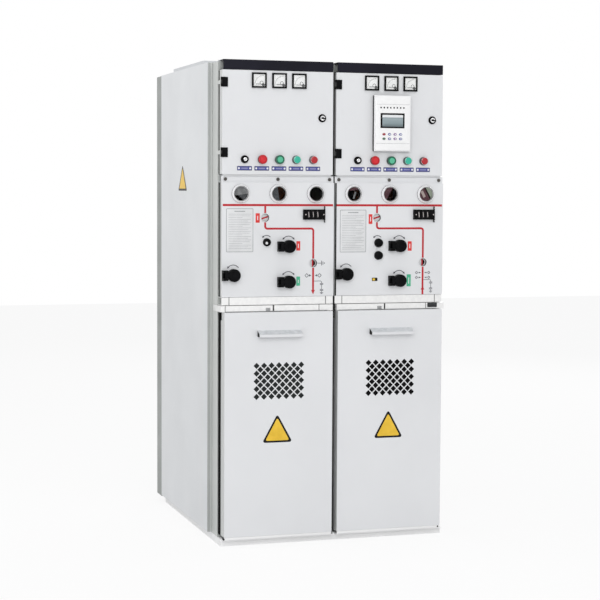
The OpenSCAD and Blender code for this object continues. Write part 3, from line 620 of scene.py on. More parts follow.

# Sills. Folded strips of painted sheet close the slots under the cable doors and the instrument
# doors; each is screwed to the frame behind its door, so it stays when the door opens. The sills
# under the cable doors are coloured near white, as painted light where the slots would lie in
# shade.
# Painted light: near white, lighter than the doors, in place of the shaded slots.
sill_lightened_coat = coated("sill_lightened_coat", from_screen(246, 246, 246), from_screen(250, 250, 250))
lip_coat = coated("lip_coat", from_screen(214, 215, 216), from_screen(222, 223, 224))
sill_x, lip_x = (-0.2405, 0.2335), (-0.2400, 0.2330)
sill_y, lip_y = (0.0355, 0.0370), (0.0035, 0.0300)
sill_z = (0.0302, 0.0414)
for side, x in centre.items():
    low = (x + sill_x[0], cable_low.y + sill_y[0], sill_z[0])
    high = (x + sill_x[1], cable_low.y + sill_y[1], sill_z[1])
    sill = plate(f"cable_sill_{side}", low, high, 0.0, 0.0004)
    finish_piece(sill, "root", sill_lightened_coat)
    low = (x + lip_x[0], door_face + lip_y[0], strip_high.z + 0.0002)
    high = (x + lip_x[1], door_face + lip_y[1], doors_low.z - 0.0004)
    lip = plate(f"door_sill_{side}", low, high, 0.0, 0.0008)
    finish_piece(lip, "root", lip_coat)

# Edge profiles of the end covers. A folded grey profile is clipped over the front edge of each
# cover, and beside it shows the fold of the cover itself; their two grey tones are painted shade on
# the folded edge, darker on the outer strip.
cover_low, cover_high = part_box("end_covers")
# Painted shade: both strips are coloured darker than the cover to stand in for the shade on its
# folded front edge.
edge_shade_dark = coated("edge_shade_dark", from_screen(168, 171, 170), from_screen(178, 181, 179))
edge_shade_pale = coated("edge_shade_pale", from_screen(197, 200, 197), from_screen(205, 208, 205))
profile_w, fold_w = 0.0125, 0.0070
for side, x, step in (("left", cover_low.x, 1), ("right", cover_high.x, -1)):
    for name, start, wide, proud, coat in (
        ("edge_profile", 0, profile_w, 0.0012, edge_shade_dark),
        ("edge_fold", profile_w, fold_w, 0.0007, edge_shade_pale),
    ):
        ends = sorted((x + step * start, x + step * (start + wide)))
        low = (ends[0], cover_low.y - proud, cover_low.z + 0.001)
        high = (ends[1], cover_low.y + 0.0001, cover_high.z - 0.001)
        finish_piece(plate(f"{name}_{side}", low, high, 0.0, 0.0003), "root", coat)

# Door buffers. Small rubber feet under the outer corners of the two cable doors keep them off the
# base frame.
buffer_r = 0.0035
buffer_y = (0.0345, 0.0500)
buffer_at = ((-0.4925, 0.0345), (0.4760, 0.0360))
buffers = []
for x, z in buffer_at:
    low = (x - buffer_r, cable_low.y + buffer_y[0], z - buffer_r)
    high = (x + buffer_r, cable_low.y + buffer_y[1], z + buffer_r)
    buffers.append(plate("buffer", low, high, 0.0028, 0.0010))
finish_piece(joined("door_buffers", buffers), "root", rubber)

# Inspection windows. Each has a turned aluminium ring, bright in front and coloured dark round its
# side and bore as painted shade, which clamps a pane of tempered glass; behind it a blade of the
# isolator can be seen, and in some windows painted reflections.


def front_only(tree, front, side):
    """Painted shade: one colour on the faces that look forward and a darker one on the rest."""
    return blend(tree, grown(tree, axis_of(tree, "Normal", "Y"), -0.12, -0.28), side, front)


# Painted shade: the side and bore of the ring are coloured dark grey.
ring_metal, tree, shader = shader_of("ring_metal")
shader.inputs["Metallic"].default_value = 0.15
link_up(
    tree,
    (
        front_only(tree, from_screen(250, 250, 251), from_screen(70, 72, 75)),
        shader.inputs["Base Color"],
    ),
    (between(tree, patches(tree, 80), 0.22, 0.36), shader.inputs["Roughness"]),
)
relief(tree, shader, patches(tree, 900, 2.0, (1, 0.1, 1)), 0.00002, 0.3)
dress("porthole_rings", ring_metal, 0.0004, True)

window_glass, tree, shader = shader_of("window_glass")
shader.inputs["Base Color"].default_value = from_screen(6, 6, 8)
shader.inputs["IOR"].default_value = 1.5
shader.inputs["Specular IOR Level"].default_value = 0.12
shader.inputs["Alpha"].default_value = 0.2
link_up(tree, (between(tree, patches(tree, 25), 0.02, 0.07), shader.inputs["Roughness"]))
dress("porthole_glass", window_glass, 0.0004, True)

# Panel fittings, hinges, flap covers and knobs. They are moulded in black nylon, slightly rough,
# with a faint sheen where hands have rubbed them.


def moulded(name, dark, light, gloss=(0.34, 0.5), grain=1400, depth=0.00005):
    """Moulded plastic: a little unevenness in its tone and gloss and a fine spark-eroded grain."""
    material, tree, shader = shader_of(name)
    link_up(
        tree,
        (two_tone(tree, patches(tree, 35), dark, light), shader.inputs["Base Color"]),
        (between(tree, patches(tree, 70), *gloss), shader.inputs["Roughness"]),
    )
    relief(tree, shader, patches(tree, grain, 2.0), depth, 0.5)
    return material


def dull(material, level=0.05):
    """Lowers the sheen of a dark finish, which would otherwise mirror the bright room."""
    shader_in(material).inputs["Specular IOR Level"].default_value = level
    return material


black_plastic = dull(moulded("black_plastic", from_screen(8, 8, 9), from_screen(20, 20, 22)))
for name in ("panel_fittings", "door_hinges_left", "door_hinges_right"):
    dress(name, black_plastic, 0.0005)
for name in (
    "door_instruments_left", "door_instruments_right", "interlock_knob_left",
    "close_knob_right", "open_knob_right",
):
    dress(name, black_plastic, 0.0005, True)
for kind in ("switch_cover", "earth_cover", "charge_cover"):
    for side in centre:
        dress(f"{kind}_{side}", black_plastic, 0.0005, True)

# Needles, shafts and the key-operated cores. The needles are painted black, the shafts are turned
# steel and the cores of the locks and selectors are chromed.
needle_paint = dull(moulded("needle_paint", from_screen(20, 20, 20), from_screen(38, 38, 38)))
shaft_steel = plated("shaft_steel", from_screen(130, 130, 128), from_screen(176, 175, 172))
chrome = plated("chrome", from_screen(220, 221, 224), from_screen(250, 250, 250), (0.06, 0.16))
for side in centre:
    for i in (1, 2, 3):
        dress(f"needle_{side}_{i}", needle_paint, 0, True)
    for kind in ("switch_shaft", "earth_shaft"):
        dress(f"{kind}_{side}", shaft_steel, 0.0004, True)
    for kind in ("door_lock", "selector"):
        dress(f"{kind}_{side}", chrome, 0.0003, True)

# Push buttons and position indicators. The buttons are moulded in red and green plastic, coloured
# darker round the side than on the face as painted shade, and the indicators are white discs on the
# ends of their spindles.


def side_shaded(name, side, front, gloss):
    """Moulded plastic, coloured brighter in front and darker round the side as painted shade."""
    material = moulded(name, side, front, gloss)
    tree = material.node_tree
    link_up(tree, (front_only(tree, front, side), shader_in(material).inputs["Base Color"]))
    return material


red_plastic = side_shaded("red_plastic", from_screen(136, 6, 20), from_screen(192, 8, 26), (0.3, 0.42))
green_plastic = side_shaded(
    "green_plastic", from_screen(8, 62, 46), from_screen(14, 98, 72), (0.24, 0.36)
)
white_plastic = moulded("white_plastic", from_screen(224, 225, 226), from_screen(238, 239, 240))
for side in centre:
    dress(f"red_button_{side}", red_plastic, 0.0003, True)
    dress(f"green_button_{side}", green_plastic, 0.0003, True)
    for kind in ("switch_indicator", "earth_indicator"):
        dress(f"{kind}_{side}", white_plastic, 0.0003, True)

# Protection relay. Its front rim is a white moulding and the case behind it, which goes through
# the door, is black.
relay_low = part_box("protection_relay")[0]
rim_back = (door_face - 0.0199, door_face - 0.0196)
relay_case, tree, shader = shader_of("relay_case")
behind = grown(tree, axis_of(tree, "Object", "Y"), *rim_back)
link_up(
    tree,
    (
        blend(tree, behind, from_screen(250, 250, 251), from_screen(22, 21, 22)),
        shader.inputs["Base Color"],
    ),
    (between(tree, patches(tree, 40), 0.3, 0.42), shader.inputs["Roughness"]),
)
relief(tree, shader, patches(tree, 1400, 2.0), 0.00003, 0.4)
dress("protection_relay", relay_case, 0.0004)

# Meter faces. Each meter has a white enamelled dial with a quarter-round scale and a needle that
# turns about its lower right corner, behind a flat glass in the black housing.
meter_z = 1.960
meter_xs = (-0.088, 0.0, 0.087)
needle_off = 0.016
dial_half = 0.025
dial_y = door_face - 0.004
pane_out = (0.0076, 0.0070)
scale_r = 0.034
corner_r = 0.0066
zero_at, zero_r = (0.0100, -0.0105), (0.0078, 0.0060)
ink = 0.0003


def turned(name, x, z, radius, back, front, rim=0.0, sides=40):
    """A round piece that stands out forwards from back to front, with a rounded front rim."""
    bpy.ops.object.select_all(action="DESELECT")
    bpy.ops.mesh.primitive_cylinder_add(
        vertices=sides, radius=radius, depth=back - front,
        location=(x, (back + front) / 2, z), rotation=(math.pi / 2, 0, 0),
    )
    piece = bpy.context.object
    piece.name = name
    bpy.ops.object.transform_apply(location=True, rotation=True, scale=True)
    bpy.ops.object.mode_set(mode="EDIT")
    if rim:
        pick("EDGE", lambda e: all(abs(v.co.y - front) < 1e-5 for v in e.verts))
        bpy.ops.mesh.bevel(offset=rim, segments=4, affect="EDGES")
    outward()
    return piece


def ring(name, x, z, radius, bore, back, front, rim=0.0, sides=40):
    """A turned piece with a flat-bottomed hole in its front, or right through it."""
    piece = turned(name, x, z, radius, back, front, 0.0, sides)
    bpy.ops.object.mode_set(mode="EDIT")
    for facing in (-1, 1):
        pick("FACE", lambda f: f.normal.y * facing > 0.9 and len(f.verts) == sides)
        bpy.ops.mesh.inset(thickness=radius - bore, depth=0)
    pick("FACE", lambda f: abs(f.normal.y) > 0.9 and len(f.verts) == sides)
    bpy.ops.mesh.bridge_edge_loops()
    if rim:
        pick("EDGE", lambda e: all(
            abs(v.co.y - front) < 1e-5 and math.hypot(v.co.x - x, v.co.z - z) > radius - 1e-5
            for v in e.verts
        ))
        bpy.ops.mesh.bevel(offset=rim, segments=3, affect="EDGES")
    outward()
    return piece


def stroke(name, x, y, z, heading, moves, width, lift=ink):
    """A line of ink or film, drawn like a pen stroke on a face at depth y. Headings and bends
    are in degrees, anticlockwise as seen from the front, from pointing right."""
    heading = math.radians(heading)
    at = Vector((x, y - lift / 2, z))
    bpy.ops.object.select_all(action="DESELECT")
    bpy.ops.mesh.primitive_plane_add(size=1, location=at, rotation=(0, math.pi / 2 - heading, 0))
    piece = bpy.context.object
    piece.name = name
    piece.scale = (width, lift, 1)
    bpy.ops.object.transform_apply(location=True, rotation=True, scale=True)
    bpy.ops.object.mode_set(mode="EDIT")
    bpy.ops.mesh.select_all(action="SELECT")
    for move in moves:
        along = Vector((math.cos(heading), 0, math.sin(heading)))
        if len(move) == 1:
            step = along * move[0]
            bpy.ops.mesh.extrude_region_move(TRANSFORM_OT_translate={"value": step})
            at += step
        else:
            bend, radius = math.radians(move[0]), move[1]
            side = 1 if bend > 0 else -1
            hub = at + side * radius * Vector((-math.sin(heading), 0, math.cos(heading)))
            steps = max(3, int(abs(move[0]) / 12))
            bpy.ops.mesh.spin(steps=steps, angle=bend, center=hub, axis=(0, 1, 0))
            heading += bend
            at = hub - side * radius * Vector((-math.sin(heading), 0, math.cos(heading)))
    bpy.ops.mesh.select_mode(type="FACE")
    bpy.ops.mesh.select_all(action="SELECT")
    bpy.ops.mesh.remove_doubles(threshold=0.000005)
    bpy.ops.mesh.select_all(action="DESELECT")
    bpy.ops.mesh.select_interior_faces()
    bpy.ops.mesh.delete(type="ONLY_FACE")
    outward()
    return piece


def printed(name, r, g, b, spread=8):
    """Ink or film: the colour with slight unevenness and a satin face."""
    return moulded(
        name, from_screen(max(r - spread, 0), max(g - spread, 0), max(b - spread, 0)),
        from_screen(min(r + spread, 255), min(g + spread, 255), min(b + spread, 255)),
        (0.34, 0.46), 900, 0.00001,
    )


dial_white = printed("dial_white", 250, 250, 249, 3)
ink_black = printed("ink_black", 40, 40, 44)
ink_grey = printed("ink_grey", 120, 122, 126)
clear_glass, tree, shader = shader_of("clear_glass")
shader.inputs["Base Color"].default_value = (0.9, 0.92, 0.92, 1)
shader.inputs["Alpha"].default_value = 0.06
link_up(tree, (between(tree, patches(tree, 40), 0.02, 0.06), shader.inputs["Roughness"]))

for side, middle in centre.items():
    body = f"inst_door_{side}"
    dials, marks, panes = [], [], []
    for x in meter_xs:
        x += middle
        low = (x - dial_half + 0.0002, dial_y - ink, meter_z - dial_half + 0.0002)
        high = (x + dial_half - 0.0002, dial_y, meter_z + dial_half - 0.0002)
        dials.append(plate("dial", low, high, 0.0012, 0))
        face = dial_y - ink
        px, pz = x + needle_off, meter_z - needle_off
        marks.append(stroke("scale", px - scale_r, face, pz, 90, [(-90, scale_r)], 0.0005))
        for i in range(11):
            heading = 180 - 9 * i
            turn = math.radians(heading)
            reach, wide = (0.0045, 0.0012) if i % 5 == 0 else (0.003, 0.0007)
            marks.append(stroke(
                "tick", px + scale_r * math.cos(turn), face, pz + scale_r * math.sin(turn),
                heading, [(reach,)], wide,
            ))
        marks.append(turned("corner", px + 0.002, pz - 0.003, corner_r, face, face - ink))
        marks.append(ring(
            "zero", x + zero_at[0], meter_z + zero_at[1], *zero_r, face, face - ink
        ))
        low = (x - dial_half + 0.0001, door_face - pane_out[0], meter_z - dial_half + 0.0001)
        high = (x + dial_half - 0.0001, door_face - pane_out[1], meter_z + dial_half - 0.0001)
        panes.append(plate("pane", low, high, 0, 0.0002))
    finish_piece(joined(f"meter_dials_{side}", dials), body, dial_white)
    finish_piece(joined(f"meter_scales_{side}", marks), body, ink_black)
    finish_piece(joined(f"meter_panes_{side}", panes), body, clear_glass)

# Signal lamps and the heads of the push buttons. A lamp is a domed coloured lens in a satin metal
# ring, its edge coloured darker as painted shade and a pale ring on its dome as a painted
# highlight; a button's head carries a slightly domed insert.
row_z = 1.631
lamp_xs = (0.075, 0.150)
button_xs = {"red": -0.075, "green": 0.0}
lens_r, insert_r = 0.0158, 0.0122
bezel_r, glint_r = (0.0179, 0.0159), (0.0154, 0.0138)


def lens_colour(name, edge, face):
    """Coloured acrylic with a polished surface; its face is bright and its edge darker as painted
    shade.
    """
    material = side_shaded(name, edge, face, (0.12, 0.24))
    shader = shader_in(material)
    shader.inputs["Coat Weight"].default_value = 0.2
    shader.inputs["Coat Roughness"].default_value = 0.05
    return material


lens_green = lens_colour("lens_green", from_screen(18, 96, 84), from_screen(44, 184, 156))
lens_red = lens_colour("lens_red", from_screen(84, 10, 18), from_screen(178, 12, 28))
insert_green = lens_colour("insert_green", from_screen(52, 160, 122), from_screen(84, 190, 150))
insert_red = lens_colour("insert_red", from_screen(190, 8, 24), from_screen(214, 12, 32))
satin_metal = plated("satin_metal", from_screen(86, 90, 92), from_screen(118, 121, 122))
glint_paint = plated("glint_paint", from_screen(196, 200, 200), from_screen(224, 226, 226))

for side, middle in centre.items():
    body = f"inst_door_{side}"
    bezels, glints = [], []
    for x, colour, material in zip(lamp_xs, ("green", "red"), (lens_green, lens_red)):
        x += middle
        lens = turned(
            f"lamp_lens_{colour}_{side}", x, row_z, lens_r,
            door_face - 0.0062, door_face - 0.0234, 0.0045,
        )
        finish_piece(lens, body, material)
        bezels.append(ring(
            "bezel", x, row_z, *bezel_r, door_face - 0.0001, door_face - 0.0064, 0.0012
        ))
        # Painted highlight: a pale ring on the front of the dome.
        glints.append(ring(
            "glint", x, row_z, *glint_r, door_face - 0.0200, door_face - 0.0215, 0.0004
        ))
    finish_piece(joined(f"lamp_bezels_{side}", bezels), body, satin_metal)
    finish_piece(joined(f"lamp_glints_{side}", glints), body, glint_paint)
    for colour, x in button_xs.items():
        insert = turned(
            f"{colour}_insert_{side}", middle + x, row_z, insert_r,
            door_face - 0.0209, door_face - 0.0219, 0.0008,
        )
        material = insert_red if colour == "red" else insert_green
        finish_piece(insert, f"{colour}_button_{side}", material)

# Selector bezels and door locks. The selector's key core sits in a domed black ring, and the lock
# has a small black wing on its bright core.
selector_x = -0.150
selector_r = (0.0160, 0.0080)
lock_at = (0.190, 1.807)
lock_cap_r = 0.0048
for side, middle in centre.items():
    bezel = ring(
        f"selector_bezel_{side}", middle + selector_x, row_z, *selector_r,
        door_face - 0.0071, door_face - 0.0125, 0.0035,
    )
    finish_piece(bezel, f"selector_{side}", black_plastic)
    cap = turned(
        f"lock_cap_{side}", middle + lock_at[0], lock_at[1], lock_cap_r,
        door_face - 0.0076, door_face - 0.0126, 0.0010,
    )
    wing = stroke(
        "wing", middle + lock_at[0] + 0.002, door_face - 0.0090, lock_at[1] - 0.0005, -14,
        [(0.0125,)], 0.0050, 0.0026,
    )
    cap = joined(f"lock_cap_{side}", [cap, wing])
    finish_piece(cap, f"door_lock_{side}", black_plastic)

# Label plates under the row. They are blue laminate with a darker edge and a pale strip along the
# middle, and each is held by two white screws.
label_xs = (selector_x, *button_xs.values(), *lamp_xs)
label_z = 1.5935
label_half = (0.032, 0.0092)
label_edge = 0.0018
label_strip = (0.014, 0.0026)
label_screw_x = 0.0245
label_rim = printed("label_rim", 38, 38, 74)
label_blue = printed("label_blue", 72, 78, 148)
label_pale = printed("label_pale", 140, 142, 186)
screw_white = printed("screw_white", 238, 238, 242, 4)
for side, middle in centre.items():
    body = f"inst_door_{side}"
    rims, fields, strips, heads = [], [], [], []
    for x in label_xs:
        x += middle
        for group, inset, back, front in (
            (rims, 0, 0, 0.0006), (fields, label_edge, 0.0006, 0.0009),
        ):
            low = (x - label_half[0] + inset, door_face - front, label_z - label_half[1] + inset)
            high = (x + label_half[0] - inset, door_face - back, label_z + label_half[1] - inset)
            group.append(plate("label", low, high, 0.002 if inset == 0 else 0.001, 0))
        low = (x - label_strip[0], door_face - 0.0011, label_z - label_strip[1])
        high = (x + label_strip[0], door_face - 0.0009, label_z + label_strip[1])
        strips.append(plate("strip", low, high, 0.0008, 0))
        for dx in (-label_screw_x, label_screw_x):
            heads.append(turned(
                "head", x + dx, label_z, 0.0042, door_face - 0.0009, door_face - 0.0021, 0.0006, 20
            ))
    finish_piece(joined(f"label_rims_{side}", rims), body, label_rim)
    finish_piece(joined(f"label_fields_{side}", fields), body, label_blue)
    finish_piece(joined(f"label_strips_{side}", strips), body, label_pale)
    finish_piece(joined(f"label_screws_{side}", heads), body, screw_white)

# Relay front. A white moulded plate covers the case; it has a window for the display, and carries
# eight signal lamps and eight keys with coloured caps. The white oval right of centre on each blue
# and violet key is a painted highlight.
relay_x = centre["right"] - 0.0085
relay_front = relay_low.y + 0.0015
relay_z = relay_low.z
cover_half = 0.0788
cover_z = (0.0042, 0.2328)
window_x, window_z = (-0.0480, 0.0620), (0.0980, 0.1620)
screen_x, screen_z = (-0.0390, 0.0550), (0.1044, 0.1546)
lamp_count, lamp_span = 8, 0.104
lamp_from = (-0.046, 0.185)
key_from = (-0.0315, 0.072)
key_steps = (0.0755 / 3, 0.019)
line_zs = (0.199, 0.033)


def cut(piece, cutter):
    """Takes the cutter's shape out of the piece."""
    choose(piece)
    opening = piece.modifiers.new("opening", "BOOLEAN")
    opening.operation = "DIFFERENCE"
    opening.object = cutter
    bpy.ops.object.modifier_apply(modifier="opening")
    bpy.data.objects.remove(cutter)


relay_white = moulded(
    "relay_white", from_screen(250, 250, 250), from_screen(253, 253, 253), (0.3, 0.42), 900, 0.00001
)
display_black = dull(moulded("display_black", from_screen(8, 8, 9), from_screen(16, 16, 18)), 0.1)
cover_front = relay_front - 0.0017
cover = plate(
    "relay_cover", (centre["right"] - cover_half, cover_front, relay_z + cover_z[0]),
    (centre["right"] + cover_half, relay_front - 0.0001, relay_z + cover_z[1]), 0.0020, 0.0006,
)
window = add_block(
    "window", (relay_x + window_x[0], cover_front - 0.001, relay_z + window_z[0]),
    (relay_x + window_x[1], relay_front + 0.001, relay_z + window_z[1]),
)
cut(cover, window)
finish_piece(cover, "inst_door_right", relay_white)
low = (relay_x + window_x[0] + 0.0002, relay_front - 0.0008, relay_z + window_z[0] + 0.0002)
high = (relay_x + window_x[1] - 0.0002, relay_front - 0.0001, relay_z + window_z[1] - 0.0002)
surround = plate("relay_window", low, high, 0.001, 0)
finish_piece(surround, "inst_door_right", display_black)

screen_glass, tree, shader = shader_of("screen_glass")
height = grown(tree, axis_of(tree, "Object", "Z"), relay_z + 0.104, relay_z + 0.155)
ramp = tree.nodes.new("ShaderNodeValToRGB")
tones = (
    (0.0, (96, 108, 112)), (0.3, (140, 156, 160)), (0.7, (158, 172, 176)),
    (0.75, (120, 132, 138)), (0.8, (232, 236, 238)), (1.0, (240, 242, 243)),
)
for position, tone in tones[1:-1]:
    ramp.color_ramp.elements.new(position).color = from_screen(*tone)
ramp.color_ramp.elements[0].color = from_screen(*tones[0][1])
ramp.color_ramp.elements[-1].color = from_screen(*tones[-1][1])
link_up(
    tree,
    (height, ramp.inputs["Fac"]),
    (ramp.outputs["Color"], shader.inputs["Base Color"]),
    (between(tree, patches(tree, 60), 0.08, 0.16), shader.inputs["Roughness"]),
)
screen = plate(
    "relay_screen", (relay_x + screen_x[0], relay_front - 0.0013, relay_z + screen_z[0]),
    (relay_x + screen_x[1], relay_front - 0.0008, relay_z + screen_z[1]), 0.0020, 0.0002,
)
finish_piece(screen, "inst_door_right", screen_glass)

lamps = []
for i in range(lamp_count):
    x = relay_x + lamp_from[0] + i * lamp_span / (lamp_count - 1)
    lamps.append(turned(
        "lamp", x, relay_z + lamp_from[1], 0.0036,
        cover_front + 0.0002, cover_front - 0.0008, 0.0006, 20,
    ))
finish_piece(joined("relay_lamps", lamps), "inst_door_right", display_black)
key_tones = {
    "red": (150, 30, 46), "green": (84, 108, 90), "blue": (92, 98, 156), "violet": (132, 98, 150),
}
key_rows = (("red", "blue", "violet", "blue"), ("green", "blue", "violet", "blue"))
keys = {colour: [] for colour in key_tones}
marks = []


def flattened(piece, x, z):
    """Squeezes a round key or its painted highlight into an oval."""
    bpy.ops.object.mode_set(mode="EDIT")
    bpy.ops.mesh.select_all(action="SELECT")
    bpy.ops.transform.resize(value=(1.12, 1, 0.82), center_override=(x, 0, z))
    bpy.ops.object.mode_set(mode="OBJECT")
    return piece


for j, row in enumerate(key_rows):
    for i, colour in enumerate(row):
        x = relay_x + key_from[0] + i * key_steps[0]
        z = relay_z + key_from[1] - j * key_steps[1]
        key = turned("key", x, z, 0.0066, cover_front + 0.0002, cover_front - 0.0009, 0.0005, 24)
        keys[colour].append(flattened(key, x, z))
        # Painted highlight: a white oval a little right of the key's centre.
        if colour not in ("red", "green"):
            mark = turned(
                "mark", x + 0.0012, z, 0.0032, cover_front - 0.0009, cover_front - 0.0011, 0, 16
            )
            marks.append(flattened(mark, x + 0.0012, z))
for colour, caps in keys.items():
    paint = printed(f"key_{colour}", *key_tones[colour])
    finish_piece(joined(f"relay_keys_{colour}", caps), "inst_door_right", paint)
finish_piece(joined("relay_key_highlights", marks), "inst_door_right", screw_white)
lines = []
for dz in line_zs:
    lines.append(stroke(
        "line", centre["right"] - 0.076, cover_front, relay_z + dz, 0, [(0.152,)], 0.0008, 0.0002
    ))
finish_piece(joined("relay_lines", lines), "inst_door_right", ink_grey)

# Mimic diagram. The single-line diagram of each cubicle is cut from red film and stuck on the
# panel: a busbar, a drop through both position indicators, and an arrow to or from the cable.
bus_z = 1.440
turn_r = 0.010
line_w = 0.0084
fine_w = 0.0020
bus_reach = 0.2425
switch_at = (-0.058, 1.387)
earth_at = (0.155, 1.194)
sleeve_r = 0.0192
jog_z = 1.341
film_red = printed("film_red", 188, 18, 34, 6)


def three_sided(name, wide, deep, tall):
    """A triangular block that points upwards and faces the front, at the frame's origin."""
    bpy.ops.object.select_all(action="DESELECT")
    bpy.ops.mesh.primitive_cylinder_add(
        vertices=3, radius=1, depth=1, location=(0, 0, 0), rotation=(math.pi / 2, 0, 0)
    )
    piece = bpy.context.object
    piece.name = name
    bpy.ops.object.transform_apply(location=True, rotation=True, scale=True)
    piece.scale = (wide / math.sqrt(3), deep, tall / 1.5)
    bpy.ops.object.transform_apply(location=True, rotation=True, scale=True)
    return piece


def arrowhead(name, x, y, z, heading, long, wide, lift=ink):
    """A flat arrowhead on a face at depth y; its tip is at x, z and points along the heading."""
    piece = three_sided(name, wide, lift, long)
    tip = max(v.co.z for v in piece.data.vertices)
    piece.location = (0, 0, -tip)
    bpy.ops.object.transform_apply(location=True, rotation=True, scale=True)
    piece.rotation_euler = (0, math.radians(90 - heading), 0)
    piece.location = (x, y - lift / 2, z)
    bpy.ops.object.transform_apply(location=True, rotation=True, scale=True)
    bpy.ops.object.mode_set(mode="EDIT")
    outward()
    return piece


for side, middle in centre.items():
    x1, x2 = middle + switch_at[0], middle + earth_at[0]
    film = [
        stroke("bus", middle - bus_reach, panel_face, bus_z, 0, [(2 * bus_reach,)], 0.0092),
        stroke(
            "drop", x1, panel_face, bus_z - 0.004, -90,
            [(bus_z - 0.004 - switch_at[1] - sleeve_r,)], line_w,
        ),
        stroke(
            "jog", x1, panel_face, switch_at[1] - sleeve_r, -90,
            [
                (switch_at[1] - sleeve_r - jog_z - turn_r,), (90, turn_r),
                (x2 - x1 - 2 * turn_r,), (-90, turn_r),
                (jog_z - turn_r - earth_at[1] - sleeve_r,),
            ], line_w,
        ),
    ]
    foot = 1.077 if side == "left" else panel_low.z + 0.0006
    film.append(stroke(
        "feeder", x2, panel_face, earth_at[1] - sleeve_r, -90,
        [(earth_at[1] - sleeve_r - foot,)], line_w,
    ))
    tip = (1.061, -90) if side == "left" else (1.094, 90)
    film.append(arrowhead("arrow", x2, panel_face - 0.0001, tip[0], tip[1], 0.019, 0.0165))
    finish_piece(joined(f"mimic_film_{side}", film), "root", film_red)

# Symbols beside the diagram. Earth sign, plug contacts, voltage divider and turning arrows are
# screen printed in dark ink straight on the panel.
ink_dark = printed("ink_dark", 78, 80, 86)
half_diagonal = 0.7071
plug_rows = {"left": ((1.142,), 1), "right": ((1.149, 1.128), 0.7)}
plug_out, diamond_out = 0.0075, 0.0285
divider_zs = (1.1075, 1.103, 1.082, 1.0775)
cover_at = {"switch": (0.045, 1.266), "earth": (0.045, 1.116), "charge": (-0.197, 1.146)}
cover_arc = (0.023, 0.0115)
knob_at = {"left": (-0.0514, 1.306), "right": (-0.055, 1.303)}
knob_arc = (0.0165, 0.007)
face = panel_face
for side, middle in centre.items():
    x2 = middle + earth_at[0]
    rows, small = plug_rows[side]
    marks = []
    if side == "left":
        marks.append(stroke("lead", x2 + sleeve_r, face, earth_at[1], 0, [(0.0178,)], fine_w))
        for i, tall in enumerate((0.020, 0.013, 0.006)):
            x = x2 + sleeve_r + 0.0185 + 0.0062 * i
            marks.append(stroke("bar", x, face, earth_at[1] - tall / 2, 90, [(tall,)], 0.0028))
    for row_at in rows:
        for way in (-1, 1):
            heading = 0 if way < 0 else 180
            marks.append(arrowhead(
                "plug", x2 + way * plug_out, face, row_at, heading, 0.011, 0.010 * small
            ))
            x, long = x2 + way * diamond_out, 0.0115 * small
            for corner in (0, 180):
                away = math.radians(corner)
                for lean in (135, -135):
                    marks.append(stroke(
                        "diamond", x + math.cos(away) * long * half_diagonal, face, row_at,
                        corner + lean, [(long,)], 0.0024,
                    ))
    marks.append(stroke(
        "branch", x2 + 0.0041, face, 1.118, 0, [(0.028,), (-90, 0.006), (0.004,)], fine_w
    ))
    x = x2 + 0.0381
    for z in divider_zs:
        marks.append(stroke("cap", x - 0.0075, face, z, 0, [(0.0150,)], 0.0026))
    marks.append(stroke("middle", x, face, 1.1017, -90, [(0.0184,)], fine_w))
    marks.append(stroke("tail", x, face, 1.0763, -90, [(0.0075,)], fine_w))
    for i, wide in enumerate((0.014, 0.008)):
        marks.append(stroke("earth", x - wide / 2, face, 1.068 - 0.0042 * i, 0, [(wide,)], 0.0026))
    arcs = [(x, z + 0.032, *cover_arc) for x, z in cover_at.values()]
    arcs.append((*knob_at[side], *knob_arc))
    for x, z, half_span, rise in arcs:
        radius = (half_span ** 2 + rise ** 2) / (2 * rise)
        sweep = 2 * math.degrees(math.asin(half_span / radius))
        marks.append(stroke(
            "sweep", middle + x + half_span, face, z, 180 - sweep / 2, [(sweep, radius)], 0.0031
        ))
        for way in (-1, 1) if x > 0 else (-1,):
            marks.append(arrowhead(
                "head", middle + x + way * (half_span + 0.0035), face, z - 0.004,
                180 + sweep / 2 if way < 0 else -sweep / 2, 0.0095, 0.0095,
            ))
    finish_piece(joined(f"mimic_marks_{side}", marks), "root", ink_dark)

# Small plates on the panels. One is pale with a grey frame and ruled rows; the others are red or
# green film with a white strip, beside the indicators and the flap covers.
plate_white = printed("plate_white", 240, 241, 242, 3)
plate_grey = printed("plate_grey", 228, 229, 230, 3)
tag_red = printed("tag_red", 222, 48, 44)
tag_green = printed("tag_green", 70, 182, 140)
row_grey = printed("row_grey", 158, 160, 163)
film_t = 0.0006
thin_ink = 0.0002
row_count, row_step = 21, 0.0072
row_lengths = (1, 0.94, 0.62, 1, 0.88)
ruled_at = {"left": (-0.228, -0.110, 1.243, 1.426), "right": (-0.226, -0.107, 1.239, 1.421)}
reds_at = {
    "left": ((-0.100, -0.082, 1.366, 1.406), (0.080, 0.097, 1.248, 1.288)),
    "right": ((-0.096, -0.079, 1.360, 1.402), (0.085, 0.103, 1.244, 1.285)),
}
green_at = {"left": (0.0805, 0.097, 1.099, 1.138), "right": (0.081, 0.100, 1.090, 1.142)}
face = panel_face - film_t
